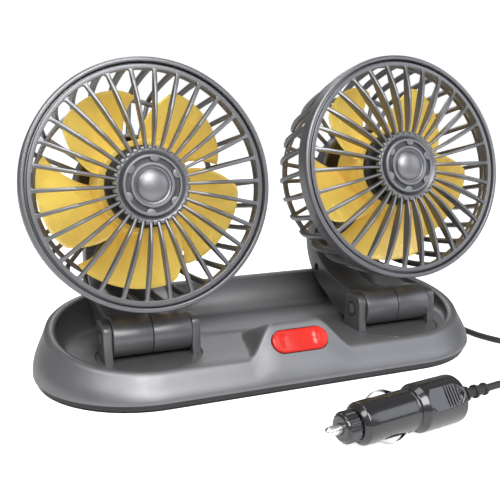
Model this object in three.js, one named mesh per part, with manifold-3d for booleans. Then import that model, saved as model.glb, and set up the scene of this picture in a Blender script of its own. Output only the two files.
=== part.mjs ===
// Dual head car fan: two caged fans on folding arms that turn on a tray-like base, and a 12 V plug.
// Millimetres, +Z up, the fans blow towards -Y. Origin: centre of the foot, on the floor.
import * as THREE from 'three';
import { mergeVertices } from 'three/addons/utils/BufferGeometryUtils.js';
import Module from 'manifold-3d';

const wasm = await Module();
wasm.setup();

// General
const gap = 0.3; // between pieces that touch
const overrun = 1; // how far a cut runs past the face it opens
const weld = 1e-4; // vertices closer than this are one
const flatness = 0.05; // faces this flat are joined
const degree = Math.PI / 180;
const quarterTurn = Math.PI / 2;
const rimSides = 30;
const turnSides = 24;
const ringSides = 14;
const pinSides = 10;
const screwSides = 6;
const headSides = 8;

// Base shell: a stadium-shaped tray with a sloping rolled crest
const footLength = 280;
const footWidth = 120.6;
const footHeight = 1.3; // lower edge of the shell above the floor
const skirtHeight = 6.5; // where the outside is widest
const skirtBulge = 1.9; // how far the widest line stands outside the foot
const shellWall = 2.4;
const trayHeight = 18.9;
const crestFrontHeight = 19.6;
const crestSlope = 0.2028; // rise of the crest towards the back
const crestInset = 8.8; // from the foot's edge to the crest's middle
const crestHalfWidth = 2.9;
const crestRoll = 1.3; // how far the crest's edges lie below its middle
const flankBulge = 1.4;
const flankBulgeShare = 0.7; // way down the flank where it bulges most
const wallRunShare = 0.62; // plan depth of the tray's inner wall as a share of its height
const endSides = 12;

// Switch platform: a bump in the front flank
const switchX = 1.3;
const platformHeight = 35;
const platformTopHalf = 14;
const platformFootHalf = 33;
const platformBack = -3; // where its slope meets the tray floor
const platformSteps = 4;
const rockerLength = 34.8;
const rockerWidth = 13.5;
const rockerHeight = 25.5; // of its middle above the floor
const rockerProud = 2.4;
const rockerDip = 1.1;
const rockerDepth = 3.4;
const rockerStem = 2.2;
const rockerRunning = 0.5; // clearance round the rocker
const switchWall = 1.4;
const switchDepth = 15;
const switchPocket = 5.9;

// Bottom plate, pad, screws, board and gland
const padThickness = 1;
const padInset = 0.9;
const plateThickness = 2;
const postRadius = 4;
const postEndInset = 70; // back posts, from the foot's ends
const postBackInset = 30.3;
const postFrontReach = 7; // front posts, beyond the platform's foot
const postFrontInset = 19.3;
const screwRadius = 1.5;
const screwHeadRadius = 3;
const screwHeadHeight = 0.9;
const screwLength = 11;
const boardLength = 44;
const boardWidth = 28;
const boardThickness = 1.6;
const boardInset = 32.3; // of its middle from the foot's front edge
const boardStandoff = 2.4;
const glandX = 60;
const glandHeight = 9;
const glandNeckRadius = 3.6;
const glandFlangeRadius = 5;
const glandFlangeThickness = 1.6;
const glandBootLength = 10;
const glandReach = 6; // how far its neck reaches into the base
const cordRadius = 2;

// Turntables and what carries them
const turnEndInset = 60.5; // of its axis from the foot's end
const turnFrontInset = 39.6;
const turnRadius = 30;
const turnThickness = 2.3;
const turnRunning = 0.4; // clearance round the disc and the spigot
const cupWall = 2.2;
const cupRim = 2.6;
const spigotRadius = 11;
const retainerRadius = 16;
const retainerThickness = 2.2;
const retainerScrewHeadRadius = 2.8;
const retainerScrewHead = 1.8;

// Hinge between turntable and arm
const hingeHeight = 31;
const earInner = 22.7;
const earThickness = 5;
const earHalfWidth = 9.3;
const earTop = 40.4;
const earCorner = 6;
const barrelRadius = 11.3;
const boltRadius = 2.5;
const hexRadius = 4.6;
const hexHeight = 2;

// Arm: two halves, side by side
const armHalfWidth = 22.3;
const pivotY = 60; // head pivot behind the hinge
const pivotZ = 93; // and above the floor
const knuckleRadius = 9.5;
const slotHalfWidth = 8.3;
const slotRunning = 2.5;
const pinRadius = 2;
const pinHeadRadius = 3.6;
const pinHeadHeight = 2;
const armScrewY = 59.4;
const armScrewZ = 44.8;
const armScrewRadius = 2.5;
const pinTurn = 18 * degree; // where the throat leaves the knuckle

// Head: origin at the rim's centre, x right, y up, z forwards
const pitchLeft = 9.6;
const pitchRight = 12.8;
const rimRise = 10.8; // rim centre above the pivot
const seatRadius = 64.9; // inside the bead, where the grille sits
const seatDepth = 6.5;
const seatLedge = 2.7; // how far the grille's seat reaches inwards
const beadWidth = 2.8;
const beadRise = 1;
const wallBack = 10.2;
const spokeCount = 30;
const finThickness = 2.7;
const cageDepth = 60.3;
const backRingInset = 12.2; // from the rim's outside to the back ring's
const backRingWidth = 2.8;
const backRingThickness = 3;
const bossRadius = 32.5;
const bossWall = 2.2;
const bossLength = 15.5;
const bossProud = 1.7; // how far it stands behind the fins
const bossPlate = 4;
const lugHalfWidth = 7.9;
const lugRadius = 9.2;
const lugReach = 14.9; // of its eye behind the boss
const rimRadius = seatRadius + beadWidth;
const wallInner = seatRadius - seatLedge;
const bossBack = cageDepth + bossProud;
const bossFront = bossBack - bossLength;
const rimForward = bossBack + lugReach; // rim plane in front of the pivot

// Front grille
const grilleWidth = 2.4; // of the flat ring round the spokes
const grilleGroove = 0.9; // between the flat ring and the bead
const grilleStep = 1.6; // depth of that groove
const grilleInset = 0.4;
const grilleThickness = 2.4;
const grilleSkirt = 1.8;
const spokeRimWidth = 2.3;
const spokeHubWidth = 1.5;
const domeRise = 5;
const hubOuter = 19.5;
const hubRecess = 18.4;
const hubDish = 1.7; // how far the recess narrows towards its floor
const hubFront = 2.8;
const hubBack = -0.8;
const hubFloor = 1.2;
const toothReach = 1.3;

// Hub cap
const capClearance = 0.4; // round it, at the recess's floor
const capFront = 4;
const capChamfer = 0.5;
const capRingWidth = 1;
const capGrooveWidth = 3;
const capGrooveDepth = 1.4;
const capInnerRing = 1.5;
const capWell = 0.9; // depth of the dome's foot below the rings
const capWellWidth = 1.4;
const capDomeRise = 3.4;
const capTabs = 6;
const capTabRadius = 2.6;
const capTabSides = 3;
const capSides = 12;
const capStub = 3;

// Motor and rotor, depths behind the rim plane
const shaftRadius = 1.5;
const shaftFront = 9.2;
const shaftInset = 10; // of its end from the boss's back
const bushRadius = 3;
const bushFront = 18;
const bushInset = 2; // of its end from the shaft's
const tubeWall = 1.9;
const statorRadius = 19;
const statorFront = 17;
const statorBack = 30;
const statorPoles = 6;
const statorFlange = 12;
const bellRadius = 22.3;
const bellWall = 2;
const bellFront = 9;
const bellBack = 32;
const bellHub = 4.5;
const bellHubLength = 4;
const rotorRing = 3.2;
const rotorFront = 12;
const rotorLip = 2; // how far the ring runs behind the blades' roots
const bladeCount = 5;
const bladeClearance = 5.9; // between the blades and the rim's wall
const bladeBulge = 1.4;
const bladeThickness = 1.4;
const bladeLead = 13.3; // degrees, at the tip of the leading edge
const bladeTrail = 70.2; // degrees, at the tip of the trailing edge
const bladeLeadRoot = 29;
const bladeTrailRoot = 93;
const bladeBackClearance = 5.5; // between the leading edge and the boss
const bladeTrailDepth = 14;
const bladeRootTrailDepth = 16;
const bladeRootStep = 3; // how far the leading edge's root lies in front of its tip
const bladeCamber = 2.5;
const bladeSweepShare = 1.3; // power of the edges' sweep from root to tip
const bladeRadius = wallInner - bladeClearance - bladeBulge;
const bladeLeadDepth = bossFront - bladeBackClearance;
const bladeRootLeadDepth = bladeLeadDepth - bladeRootStep;
const rotorBack = bladeRootLeadDepth + rotorLip;
const shaftBack = bossBack - shaftInset;
const bushBack = shaftBack - bushInset;

// 12 V plug, lengths from its tip towards the lead
const plugPlace = [-29, -138.7];
const plugTurn = 8.62; // degrees from +X
const plugRoll = 35; // degrees that the side contacts lean back
const tipRadius = 2.4;
const tipLength = 13;
const tipFlange = 3.1;
const tipFlangeLength = 1.5;
const collarFront = 8.5;
const collarLength = 8;
const collarRadius = 7.3;
const collarRidges = 12;
const collarRidge = 0.6;
const barrelFront = 16.8;
const barrelBack = 50.5;
const barrelRound = 10.5;
const barrelChamfer = 3;
const barrelNose = 8.2;
const barrelSpigot = 8;
const barrelSpigotLength = 7;
const fuseRadius = 3;
const fuseLength = 28;
const boreRadius = 3.5;
const contactFront = 26;
const contactLength = 20;
const contactWidth = 4;
const contactThickness = 0.6;
const contactBulge = 3;
const contactTravel = 2;
const handleBack = 79.5;
const handleRadius = 12.3;
const handleTaper = 3;
const handleEdge = 1.5;
const gripLength = 22;
const gripHalfWidth = 6.5;
const gripDepth = 1.1;
const gripRibs = 5;
const gripRibWidth = 1;
const reliefLength = 24.3;
const reliefFoot = 6.2;
const reliefFootLength = 1.8;
const reliefRadius = 2.6;
const reliefRib = 4.2; // radius of the first rib, beside the foot
const reliefEndRib = 3.3;
const reliefRibs = 4;
const reliefRibWidth = 1.8;
const reliefSides = 8;

// Lead: coil outside the view, and the two free stretches
const coilCentre = [146, -112];
const coilInner = 13;
const coilPitch = 4.8;
const coilTurns = 8.25;
const coilSteps = 12; // per turn
const coilSides = 5;
const cordSides = 6;
const plugLeadRoute = [
  [88, -120.9, 12], [100, -121, 9.2], [112, -125.5, 4.6], [123, -136.5, 2.2], [133, -144.2, 2],
];
const baseLeadRoute = [
  [179.4, -97, 5.2], [178, -80, 2.2], [169, -60, 2], [157.5, -43, 2], [150, -24, 2], [148.4, -4, 2],
  [147, 16, 2], [140.5, 38, 2], [127, 58, 2], [109, 75, 2], [90, 88, 2.2], [74, 94.5, 3], [64.4, 92, 5.8],
  [60.4, 83.5, 8.6],
];

// Shapes
const lerp = THREE.MathUtils.lerp;
const point = (x, y, z) => new THREE.Vector3(x, y, z);

function signedVolume(position, triangles) {
  const corners = [point(0, 0, 0), point(0, 0, 0), point(0, 0, 0)];
  let volume = 0;
  for (let i = 0; i < triangles.length; i += 3) {
    corners.forEach((corner, k) => corner.fromArray(position, 3 * triangles[i + k]));
    volume += corners[0].dot(corners[1].cross(corners[2]));
  }
  return volume;
}

function solid(shape) {
  if (!(shape instanceof THREE.BufferGeometry)) return shape;
  const bare = new THREE.BufferGeometry();
  bare.setAttribute('position', shape.getAttribute('position'));
  bare.setIndex(shape.getIndex());
  const merged = mergeVertices(bare, weld);
  const position = Float32Array.from(merged.getAttribute('position').array);
  const index = merged.getIndex().array;
  const triangles = [];
  for (let i = 0; i < index.length; i += 3) {
    const [a, b, c] = [index[i], index[i + 1], index[i + 2]];
    if (a !== b && b !== c && c !== a) triangles.push(a, b, c);
  }
  const inward = signedVolume(position, triangles) < 0;
  if (inward) triangles.reverse();
  const mesh = { numProp: 3, vertProperties: position, triVerts: Uint32Array.from(triangles) };
  return new wasm.Manifold(new wasm.Mesh(mesh));
}

const join = (...shapes) => shapes.map(solid).reduce((whole, next) => whole.add(next));
const cut = (shape, ...tools) => tools.map(solid).reduce((rest, tool) => rest.subtract(tool), solid(shape));
const overlap = (shape, other) => solid(shape).intersect(solid(other));
const spread = (steps, make) => Array.from({ length: steps + 1 }, (unused, i) => make(i / steps));

function geometryOf(shape) {
  const { vertProperties, triVerts } = solid(shape).asOriginal().simplify(flatness).getMesh();
  const geometry = new THREE.BufferGeometry();
  geometry.setAttribute('position', new THREE.BufferAttribute(Float32Array.from(vertProperties), 3));
  geometry.setIndex(Array.from(triVerts));
  geometry.computeVertexNormals();
  return geometry;
}

// Round bar along Z between two heights, its second radius at the upper one
function bar(radius, from, to, sides = pinSides, upperRadius = radius) {
  const phase = Math.PI / sides;
  const geometry = new THREE.CylinderGeometry(upperRadius, radius, to - from, sides, 1, false, phase);
  return geometry.rotateX(quarterTurn).translate(0, 0, (from + to) / 2);
}

function barAlongX(radius, from, to, sides = pinSides) {
  return bar(radius, from, to, sides).rotateY(quarterTurn);
}

function block(x0, x1, y0, y1, z0, z1) {
  const geometry = new THREE.BoxGeometry(x1 - x0, y1 - y0, z1 - z0);
  return geometry.translate((x0 + x1) / 2, (y0 + y1) / 2, (z0 + z1) / 2);
}

// Profile points are [radius, height]; a profile off the axis is closed on itself
function revolve(profile, sides = ringSides) {
  const offAxis = profile[0][0] > 0;
  const closed = offAxis ? [...profile, profile[0]] : profile;
  const points = closed.map(([radius, height]) => new THREE.Vector2(radius, height));
  const phase = Math.PI / sides;
  return new THREE.LatheGeometry(points, sides, phase).rotateX(quarterTurn);
}

function prism(shape, from, to, curveSegments = 4) {
  const geometry = new THREE.ExtrudeGeometry(shape, { depth: to - from, bevelEnabled: false, curveSegments });
  return geometry.translate(0, 0, from);
}

// Outline in (y, z), drawn out along X
function prismAlongX(shape, from, to, curveSegments = 4) {
  const axes = new THREE.Matrix4().makeBasis(point(0, 1, 0), point(0, 0, 1), point(1, 0, 0));
  return prism(shape, from, to, curveSegments).applyMatrix4(axes);
}

function outline(points) {
  return new THREE.Shape(points.map(([x, y]) => new THREE.Vector2(x, y)));
}

function stadium(halfLength, radius) {
  const shape = new THREE.Shape();
  const centre = halfLength - radius;
  shape.absarc(centre, 0, radius, -quarterTurn, quarterTurn);
  shape.absarc(-centre, 0, radius, quarterTurn, 3 * quarterTurn);
  return shape;
}

// Rings of equal length joined in order; each end is closed by a flat cap
function loft(rings) {
  const count = rings[0].length;
  const position = rings.flat().flatMap((p) => [p.x, p.y, p.z]);
  const index = [];
  for (let k = 0; k + 1 < rings.length; k += 1) {
    for (let i = 0; i < count; i += 1) {
      const a = k * count + i;
      const b = k * count + ((i + 1) % count);
      index.push(a, b, b + count, a, b + count, a + count);
    }
  }
  const capOf = (ring, first, flip) => {
    const normal = ring.reduce((sum, p, i) => sum.add(p.clone().cross(ring[(i + 1) % count])), point(0, 0, 0));
    const toFlat = new THREE.Quaternion().setFromUnitVectors(normal.normalize(), point(0, 0, 1));
    const flat = ring.map((p) => p.clone().applyQuaternion(toFlat)).map((p) => new THREE.Vector2(p.x, p.y));
    for (const [a, b, c] of THREE.ShapeUtils.triangulateShape(flat, [])) {
      index.push(first + (flip ? c : a), first + b, first + (flip ? a : c));
    }
  };
  capOf(rings[0], 0, true);
  capOf(rings[rings.length - 1], (rings.length - 1) * count, false);
  const geometry = new THREE.BufferGeometry();
  geometry.setAttribute('position', new THREE.Float32BufferAttribute(position, 3));
  geometry.setIndex(index);
  return geometry;
}

function spin(count, make) {
  return Array.from({ length: count }, (unused, i) => make((i * 2 * Math.PI) / count, i));
}

function piece(group, name, shape, colour, roughness, metalness = 0) {
  const material = new THREE.MeshStandardMaterial({ color: colour, roughness, metalness });
  const mesh = new THREE.Mesh(geometryOf(shape), material);
  mesh.name = name;
  group.add(mesh);
  return mesh;
}

// Colours
const titanium = 0x77777a;
const graphite = 0x5c5c60;
const armGrey = 0x47474a;
const black = 0x202022;
const darkBoard = 0x1f4a33;
const amber = 0xe6b43c;
const signalRed = 0xe23a2e;
const steel = 0xb9bcc0;
const copper = 0xa8642c;
const clearGlass = 0xd8dde0;

// Base shell
const endRadius = footWidth / 2;
const endCentre = footLength / 2 - endRadius;
const turnX = footLength / 2 - turnEndInset;
const turnY = turnFrontInset - endRadius;
const boardY = boardInset - endRadius;
const postPlaces = [-1, 1].flatMap((side) => [
  [side * (footLength / 2 - postEndInset), endRadius - postBackInset],
  [side * (platformFootHalf + postFrontReach), postFrontInset - endRadius],
]);
const crestRadius = endRadius - crestInset;
const floorUnder = trayHeight - shellWall;
const crestHeightAt = (y) => crestFrontHeight + crestSlope * (y + crestRadius);
const flankOuterRadius = crestRadius + crestHalfWidth;
const frontFlankRise = crestFrontHeight - crestRoll - skirtHeight;
const frontFlankRun = endRadius + skirtBulge - flankOuterRadius;
const flankSlope = frontFlankRise / frontFlankRun;
const flankTilt = Math.atan(flankSlope);

function platformShare(x) {
  return 1 - THREE.MathUtils.smoothstep(Math.abs(x - switchX), platformTopHalf, platformFootHalf);
}

// Stations round the plan: a point at distance r from the stadium's middle line is at place(r)
function baseStations() {
  const stations = [];
  const place = (x, angle) => (r) => [x + r * Math.cos(angle), r * Math.sin(angle)];
  for (let i = 0; i <= endSides; i += 1) {
    stations.push({ place: place(endCentre, -quarterTurn + (Math.PI * i) / endSides), bump: 0 });
  }
  for (let i = 0; i <= endSides; i += 1) {
    stations.push({ place: place(-endCentre, quarterTurn + (Math.PI * i) / endSides), bump: 0 });
  }
  const reach = platformFootHalf - platformTopHalf;
  const offsets = [];
  for (let i = 0; i <= platformSteps; i += 1) {
    offsets.push(platformTopHalf + (reach * i) / platformSteps);
  }
  const xs = [...offsets.map((x) => switchX - x), ...offsets.map((x) => switchX + x)];
  for (const x of xs.sort((a, b) => a - b)) {
    stations.push({ place: place(x, -quarterTurn), bump: platformShare(x) });
  }
  return stations;
}

// One station's section, from the tray floor out over the crest and back to the floor's underside
function baseSection({ place, bump }) {
  const wallSteps = 3;
  const rise = bump * (platformHeight - crestFrontHeight);
  const top = crestHeightAt(place(crestRadius)[1]) + rise;
  const middle = crestRadius - rise / flankSlope;
  const inner = middle - crestHalfWidth;
  const outer = middle + crestHalfWidth;
  const edge = top - crestRoll;
  const wallRise = edge - trayHeight;
  const plainRun = wallRise * wallRunShare + crestRoll;
  const run = lerp(plainRun, inner + platformBack, bump);
  const wallPoint = (share, depth) => {
    const angle = share * quarterTurn;
    const across = inner - run * lerp(1 - Math.cos(angle), share, bump);
    const height = edge - wallRise * lerp(Math.sin(angle), share, bump);
    return [across + depth * Math.cos(angle), height - depth * lerp(Math.sin(angle), 1, bump)];
  };
  const wall = spread(wallSteps, (share) => wallPoint(share, 0));
  const under = spread(wallSteps - 1, (share) => wallPoint(share, shellWall));
  const widest = endRadius + skirtBulge;
  const bulge = (flankBulge * (edge - skirtHeight)) / (crestHeightAt(0) - skirtHeight);
  const flankPoint = (share, out) => [lerp(outer, widest, share) + out, lerp(edge, skirtHeight, share)];
  const profile = [
    ...wall.reverse(),
    [middle - crestHalfWidth / 3, top],
    [middle + crestHalfWidth / 3, top],
    [outer, edge],
    flankPoint(flankBulgeShare, bulge),
    [widest, skirtHeight],
    [endRadius, footHeight],
    [endRadius - shellWall, footHeight],
    [widest - shellWall, skirtHeight - shellWall / 2],
    [outer - shellWall * Math.sin(flankTilt), edge - shellWall * Math.cos(flankTilt)],
    ...under,
  ];
  return profile.map(([r, z]) => point(...place(r), z));
}

// The switch frame lies in the front flank: x along the rocker, y up the slope, z out
function inSwitchFrame(geometry) {
  const slopeRun = (rockerHeight - skirtHeight) / flankSlope;
  const y = -(endRadius + skirtBulge) + slopeRun;
  return geometry.rotateX(flankTilt).translate(switchX, y, rockerHeight);
}

function baseShell() {
  const sections = baseStations().map(baseSection);
  const rings = sections[0].map((unused, k) => sections.map((section) => section[k]));
  const tools = [];
  const extras = [];
  const recessFloor = trayHeight - turnThickness - gap;
  for (const side of [-1, 1]) {
    const x = side * turnX;
    const cupRadius = turnRadius + cupRim;
    const cup = bar(cupRadius, recessFloor - cupWall, recessFloor + shellWall / 2, turnSides);
    extras.push(cup.translate(x, turnY, 0));
    const top = trayHeight + platformHeight;
    tools.push(bar(turnRadius + turnRunning, recessFloor, top, turnSides).translate(x, turnY, 0));
    const hole = bar(spigotRadius + turnRunning, recessFloor - cupWall - overrun, top, ringSides);
    tools.push(hole.translate(x, turnY, 0));
  }
  const plateTop = footHeight + plateThickness;
  for (const [x, y] of postPlaces) {
    extras.push(bar(postRadius, plateTop + gap, trayHeight - shellWall / 2).translate(x, y, 0));
    const pilotTop = footHeight + screwLength + overrun;
    tools.push(bar(screwRadius + gap, footHeight, pilotTop, screwSides).translate(x, y, 0));
  }
  const aperture = stadium(rockerLength / 2 + rockerRunning, rockerWidth / 2 + rockerRunning);
  tools.push(inSwitchFrame(prism(aperture, -shellWall - overrun - rockerDip, rockerProud + overrun)));
  const glandHole = bar(glandNeckRadius + gap, endRadius - shellWall - overrun - glandReach, endRadius + footLength);
  tools.push(glandHole.rotateX(-quarterTurn).translate(glandX, 0, glandHeight));
  return cut(join(loft(rings), ...extras), ...tools);
}

function bottomPlate() {
  const shape = stadium(footLength / 2 - shellWall - gap, endRadius - shellWall - gap);
  const top = footHeight + plateThickness;
  const plate = prism(shape, footHeight, top, endSides / 2);
  const boardPosts = [-1, 1].map((side) => {
    const post = bar(postRadius / 2, top - gap, top + boardStandoff, screwSides);
    return post.translate(switchX + (side * boardLength) / 3, boardY, 0);
  });
  const holes = postPlaces.flatMap(([x, y]) => [
    bar(screwRadius + gap, 0, top + overrun, screwSides).translate(x, y, 0),
    bar(screwHeadRadius + gap, 0, footHeight + screwHeadHeight + gap, headSides).translate(x, y, 0),
  ]);
  return cut(join(plate, ...boardPosts), ...holes);
}

function rocker() {
  const half = rockerLength / 2;
  const shape = new THREE.Shape();
  shape.moveTo(-half, -rockerDepth);
  shape.lineTo(half, -rockerDepth);
  shape.lineTo(half, rockerProud);
  shape.quadraticCurveTo(0, rockerProud - 2 * rockerDip, -half, rockerProud);
  const wave = prism(shape, -rockerWidth, rockerWidth, 10).rotateX(quarterTurn);
  const body = overlap(wave, prism(stadium(half, rockerWidth / 2), -rockerDepth, rockerProud));
  const stem = bar(rockerStem, -switchPocket + gap, -rockerDepth + overrun, screwSides);
  return join(body, stem);
}

function switchBody() {
  const halfLength = rockerLength / 2 + rockerRunning + switchWall;
  const radius = rockerWidth / 2 + rockerRunning + switchWall;
  const rim = -shellWall - gap;
  const pocket = stadium(halfLength - switchWall, radius - switchWall);
  return cut(prism(stadium(halfLength, radius), -switchDepth, rim), prism(pocket, -switchPocket, 0));
}

function gland() {
  const face = endRadius + skirtBulge + gap;
  const boot = [
    [0, face - shellWall - glandReach], [glandNeckRadius, face - shellWall - glandReach],
    [glandNeckRadius, face], [glandFlangeRadius, face], [glandFlangeRadius, face + glandFlangeThickness],
    [glandNeckRadius + gap, face + 2 * glandFlangeThickness], [cordRadius + overrun, face + glandBootLength],
    [0, face + glandBootLength],
  ];
  return revolve(boot, headSides).rotateX(-quarterTurn).translate(glandX, 0, glandHeight);
}

function screw(headRadius, headHeight, length) {
  return join(bar(headRadius, 0, headHeight, headSides), bar(screwRadius, 0, length, screwSides));
}

function addBase(group) {
  piece(group, 'base_shell', baseShell(), titanium, 0.45, 0.2);
  piece(group, 'bottom_plate', bottomPlate(), black, 0.7);
  const pad = stadium(footLength / 2 - padInset, endRadius - padInset);
  piece(group, 'anti_slip_pad', prism(pad, 0, padThickness, endSides / 2), black, 0.95);
  piece(group, 'switch_rocker', inSwitchFrame(geometryOf(rocker())), signalRed, 0.15);
  piece(group, 'switch_body', inSwitchFrame(geometryOf(switchBody())), black, 0.6);
  const boardBase = footHeight + plateThickness + boardStandoff + gap;
  const halfBoard = boardLength / 2;
  const board = block(
    switchX - halfBoard, switchX + halfBoard, boardY - boardWidth / 2, boardY + boardWidth / 2,
    boardBase, boardBase + boardThickness,
  );
  piece(group, 'circuit_board', board, darkBoard, 0.6);
  piece(group, 'cable_gland', gland(), black, 0.6);
  postPlaces.forEach(([x, y], i) => {
    const baseScrew = screw(screwHeadRadius, screwHeadHeight, screwLength);
    piece(group, `base_screw_${i + 1}`, baseScrew, steel, 0.35, 0.9).position.set(x, y, footHeight);
  });
}

// Turntable with its ears, in the turntable's own frame
const earOuter = earInner + earThickness;
const hexFloor = earOuter - hexHeight - gap;

function turntable() {
  const under = trayHeight - turnThickness;
  const spigotEnd = under - gap - cupWall - gap;
  const disc = bar(turnRadius, under, trayHeight, turnSides);
  const spigot = bar(spigotRadius, spigotEnd, under + overrun, ringSides);
  const ear = new THREE.Shape();
  ear.moveTo(-earHalfWidth, trayHeight - overrun);
  ear.lineTo(earHalfWidth, trayHeight - overrun);
  ear.lineTo(earHalfWidth, earTop - earCorner);
  ear.absarc(earHalfWidth - earCorner, earTop - earCorner, earCorner, 0, quarterTurn);
  ear.absarc(earCorner - earHalfWidth, earTop - earCorner, earCorner, quarterTurn, Math.PI);
  const ears = [prismAlongX(ear, earInner, earOuter, 2), prismAlongX(ear, -earOuter, -earInner, 2)];
  const far = earOuter + overrun;
  const tools = [
    barAlongX(boltRadius + gap, -far, far).translate(0, 0, hingeHeight),
    barAlongX(hexRadius + gap, hexFloor, far, 6).translate(0, 0, hingeHeight),
    barAlongX(hexRadius + gap, -far, -hexFloor, 6).translate(0, 0, hingeHeight),
    bar(screwRadius + gap, spigotEnd - overrun, under - gap, screwSides),
  ];
  return cut(join(disc, spigot, ...ears), ...tools);
}

function addTurntable(group, name) {
  piece(group, `${name}_turntable`, turntable(), armGrey, 0.4, 0.2);
  const spigotEnd = trayHeight - turnThickness - 2 * gap - cupWall;
  const retainerTop = spigotEnd - gap;
  const retainerBase = retainerTop - retainerThickness;
  const retainer = cut(
    bar(retainerRadius, retainerBase, retainerTop, ringSides),
    bar(screwRadius + gap, retainerBase - overrun, retainerTop + overrun, screwSides),
  );
  piece(group, `${name}_retainer`, retainer, steel, 0.5, 0.8);
  const place = retainerBase - gap - retainerScrewHead;
  const screwEnd = trayHeight - turnThickness - 2 * gap;
  const retainerScrew = screw(retainerScrewHeadRadius, retainerScrewHead, screwEnd - place);
  piece(group, `${name}_retainer_screw`, retainerScrew, steel, 0.35, 0.9).position.z = place;
  const bolt = join(
    barAlongX(boltRadius, -hexFloor - hexHeight / 2, hexFloor + hexHeight),
    barAlongX(hexRadius, -hexFloor - gap - hexHeight, -hexFloor - gap, 6),
  );
  piece(group, `${name}_hinge_bolt`, bolt, black, 0.35, 0.8).position.z = hingeHeight;
  const nut = cut(
    barAlongX(hexRadius, hexFloor + gap, hexFloor + gap + hexHeight, 6),
    barAlongX(boltRadius + gap, hexFloor - overrun, earOuter + overrun),
  );
  piece(group, `${name}_hinge_nut`, nut, black, 0.35, 0.8).position.z = hingeHeight;
}

// Arm halves, in the arm's frame: origin on the hinge axis
const pivotUp = pivotZ - hingeHeight;

function armOutline() {
  // Shares of the pivot's distance behind the hinge and of its height above the floor
  const bellyShares = [
    [0, 0.212], [0.3, 0.212], [0.6, 0.269], [0.78, 0.32], [1, 0.392], [1.15, 0.475], [1.237, 0.57],
    [1.277, 0.674],
  ];
  const throatShares = [
    [1.083, 0.71], [1.045, 0.65], [1, 0.605], [0.91, 0.552], [0.793, 0.509], [0.66, 0.472], [0.5, 0.447],
    [0.267, 0.428], [0, 0.452],
  ];
  const toPlace = ([y, z]) => [y * pivotY, z * pivotZ - hingeHeight];
  const eye = [
    [pivotY + knuckleRadius, pivotUp], [pivotY, pivotUp],
    [pivotY - knuckleRadius * Math.cos(pinTurn), pivotUp - knuckleRadius * Math.sin(pinTurn)],
  ];
  return outline([...bellyShares.map(toPlace), ...eye, ...throatShares.map(toPlace)]);
}

function armHalf(side) {
  const inner = gap / 2;
  const range = side > 0 ? [inner, armHalfWidth] : [-armHalfWidth, -inner];
  const far = armHalfWidth + overrun;
  const body = join(
    barAlongX(barrelRadius, ...range, ringSides),
    prismAlongX(armOutline(), ...range, 2),
    barAlongX(knuckleRadius, ...range, ringSides).translate(0, pivotY, pivotUp),
  );
  const slotRadius = knuckleRadius + slotRunning;
  const counterbore = pinHeadHeight + gap;
  const screwZ = armScrewZ - hingeHeight;
  const tools = [
    barAlongX(slotRadius, -slotHalfWidth, slotHalfWidth, ringSides).translate(0, pivotY, pivotUp),
    barAlongX(boltRadius + gap, -far, far),
    barAlongX(pinRadius + gap, -far, far).translate(0, pivotY, pivotUp),
    barAlongX(pinHeadRadius + gap, -far, counterbore - armHalfWidth).translate(0, pivotY, pivotUp),
    barAlongX(screwRadius + gap, -far, armHalfWidth / 2).translate(0, armScrewY, screwZ),
    barAlongX(armScrewRadius + gap, -far, -armHalfWidth / 2).translate(0, armScrewY, screwZ),
  ];
  return cut(body, ...tools);
}

function addArm(group, name) {
  piece(group, `${name}_arm_left_half`, armHalf(-1), armGrey, 0.4, 0.2);
  piece(group, `${name}_arm_right_half`, armHalf(1), armGrey, 0.4, 0.2);
  const shankStart = -armHalfWidth / 2 - gap;
  const armScrew = join(
    barAlongX(armScrewRadius, shankStart - 2 * screwHeadHeight, shankStart),
    barAlongX(screwRadius, shankStart - screwHeadHeight, armHalfWidth / 2 - overrun, screwSides),
  );
  const armScrewPlace = [0, armScrewY, armScrewZ - hingeHeight];
  piece(group, `${name}_arm_screw`, armScrew, steel, 0.35, 0.9).position.set(...armScrewPlace);
  const pin = join(
    barAlongX(pinRadius, -armHalfWidth + pinHeadHeight / 2, armHalfWidth - gap),
    barAlongX(pinHeadRadius, -armHalfWidth, -armHalfWidth + pinHeadHeight),
  );
  piece(group, `${name}_pivot_pin`, pin, steel, 0.35, 0.9).position.set(0, pivotY, pivotUp);
}

// Rear cage: rim, hooked fins, back ring, motor boss and lug in one moulding
// A bar of three edges, two on its broad face and one on its ridge, as [radius, height] at each station
function radialBar(stations, angle) {
  const rings = stations.map(({ face, ridge, width }) => [
    point(face[0], -width / 2, face[1]), point(face[0], width / 2, face[1]), point(ridge[0], 0, ridge[1]),
  ]);
  return loft(rings).rotateZ(angle);
}

function fin(angle) {
  // Shares of the way out from boss to rim, and of the way back from the wall to the cage's back
  const faceShares = [[0.976, 0], [0.866, 0.723], [0.702, 1], [0, 1]];
  const ridgeShares = [[0.875, 0], [0.762, 0.677], [0.69, 0.954], [0, 0.954]];
  const bossSeat = bossRadius - bossWall / 2;
  const toPlace = ([out, back]) => {
    return [lerp(bossSeat, rimRadius, out), -lerp(wallBack - overrun, cageDepth, back)];
  };
  const stations = faceShares.map((shares, i) => {
    return { face: toPlace(shares), ridge: toPlace(ridgeShares[i]), width: finThickness };
  });
  return radialBar(stations, angle);
}

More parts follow.
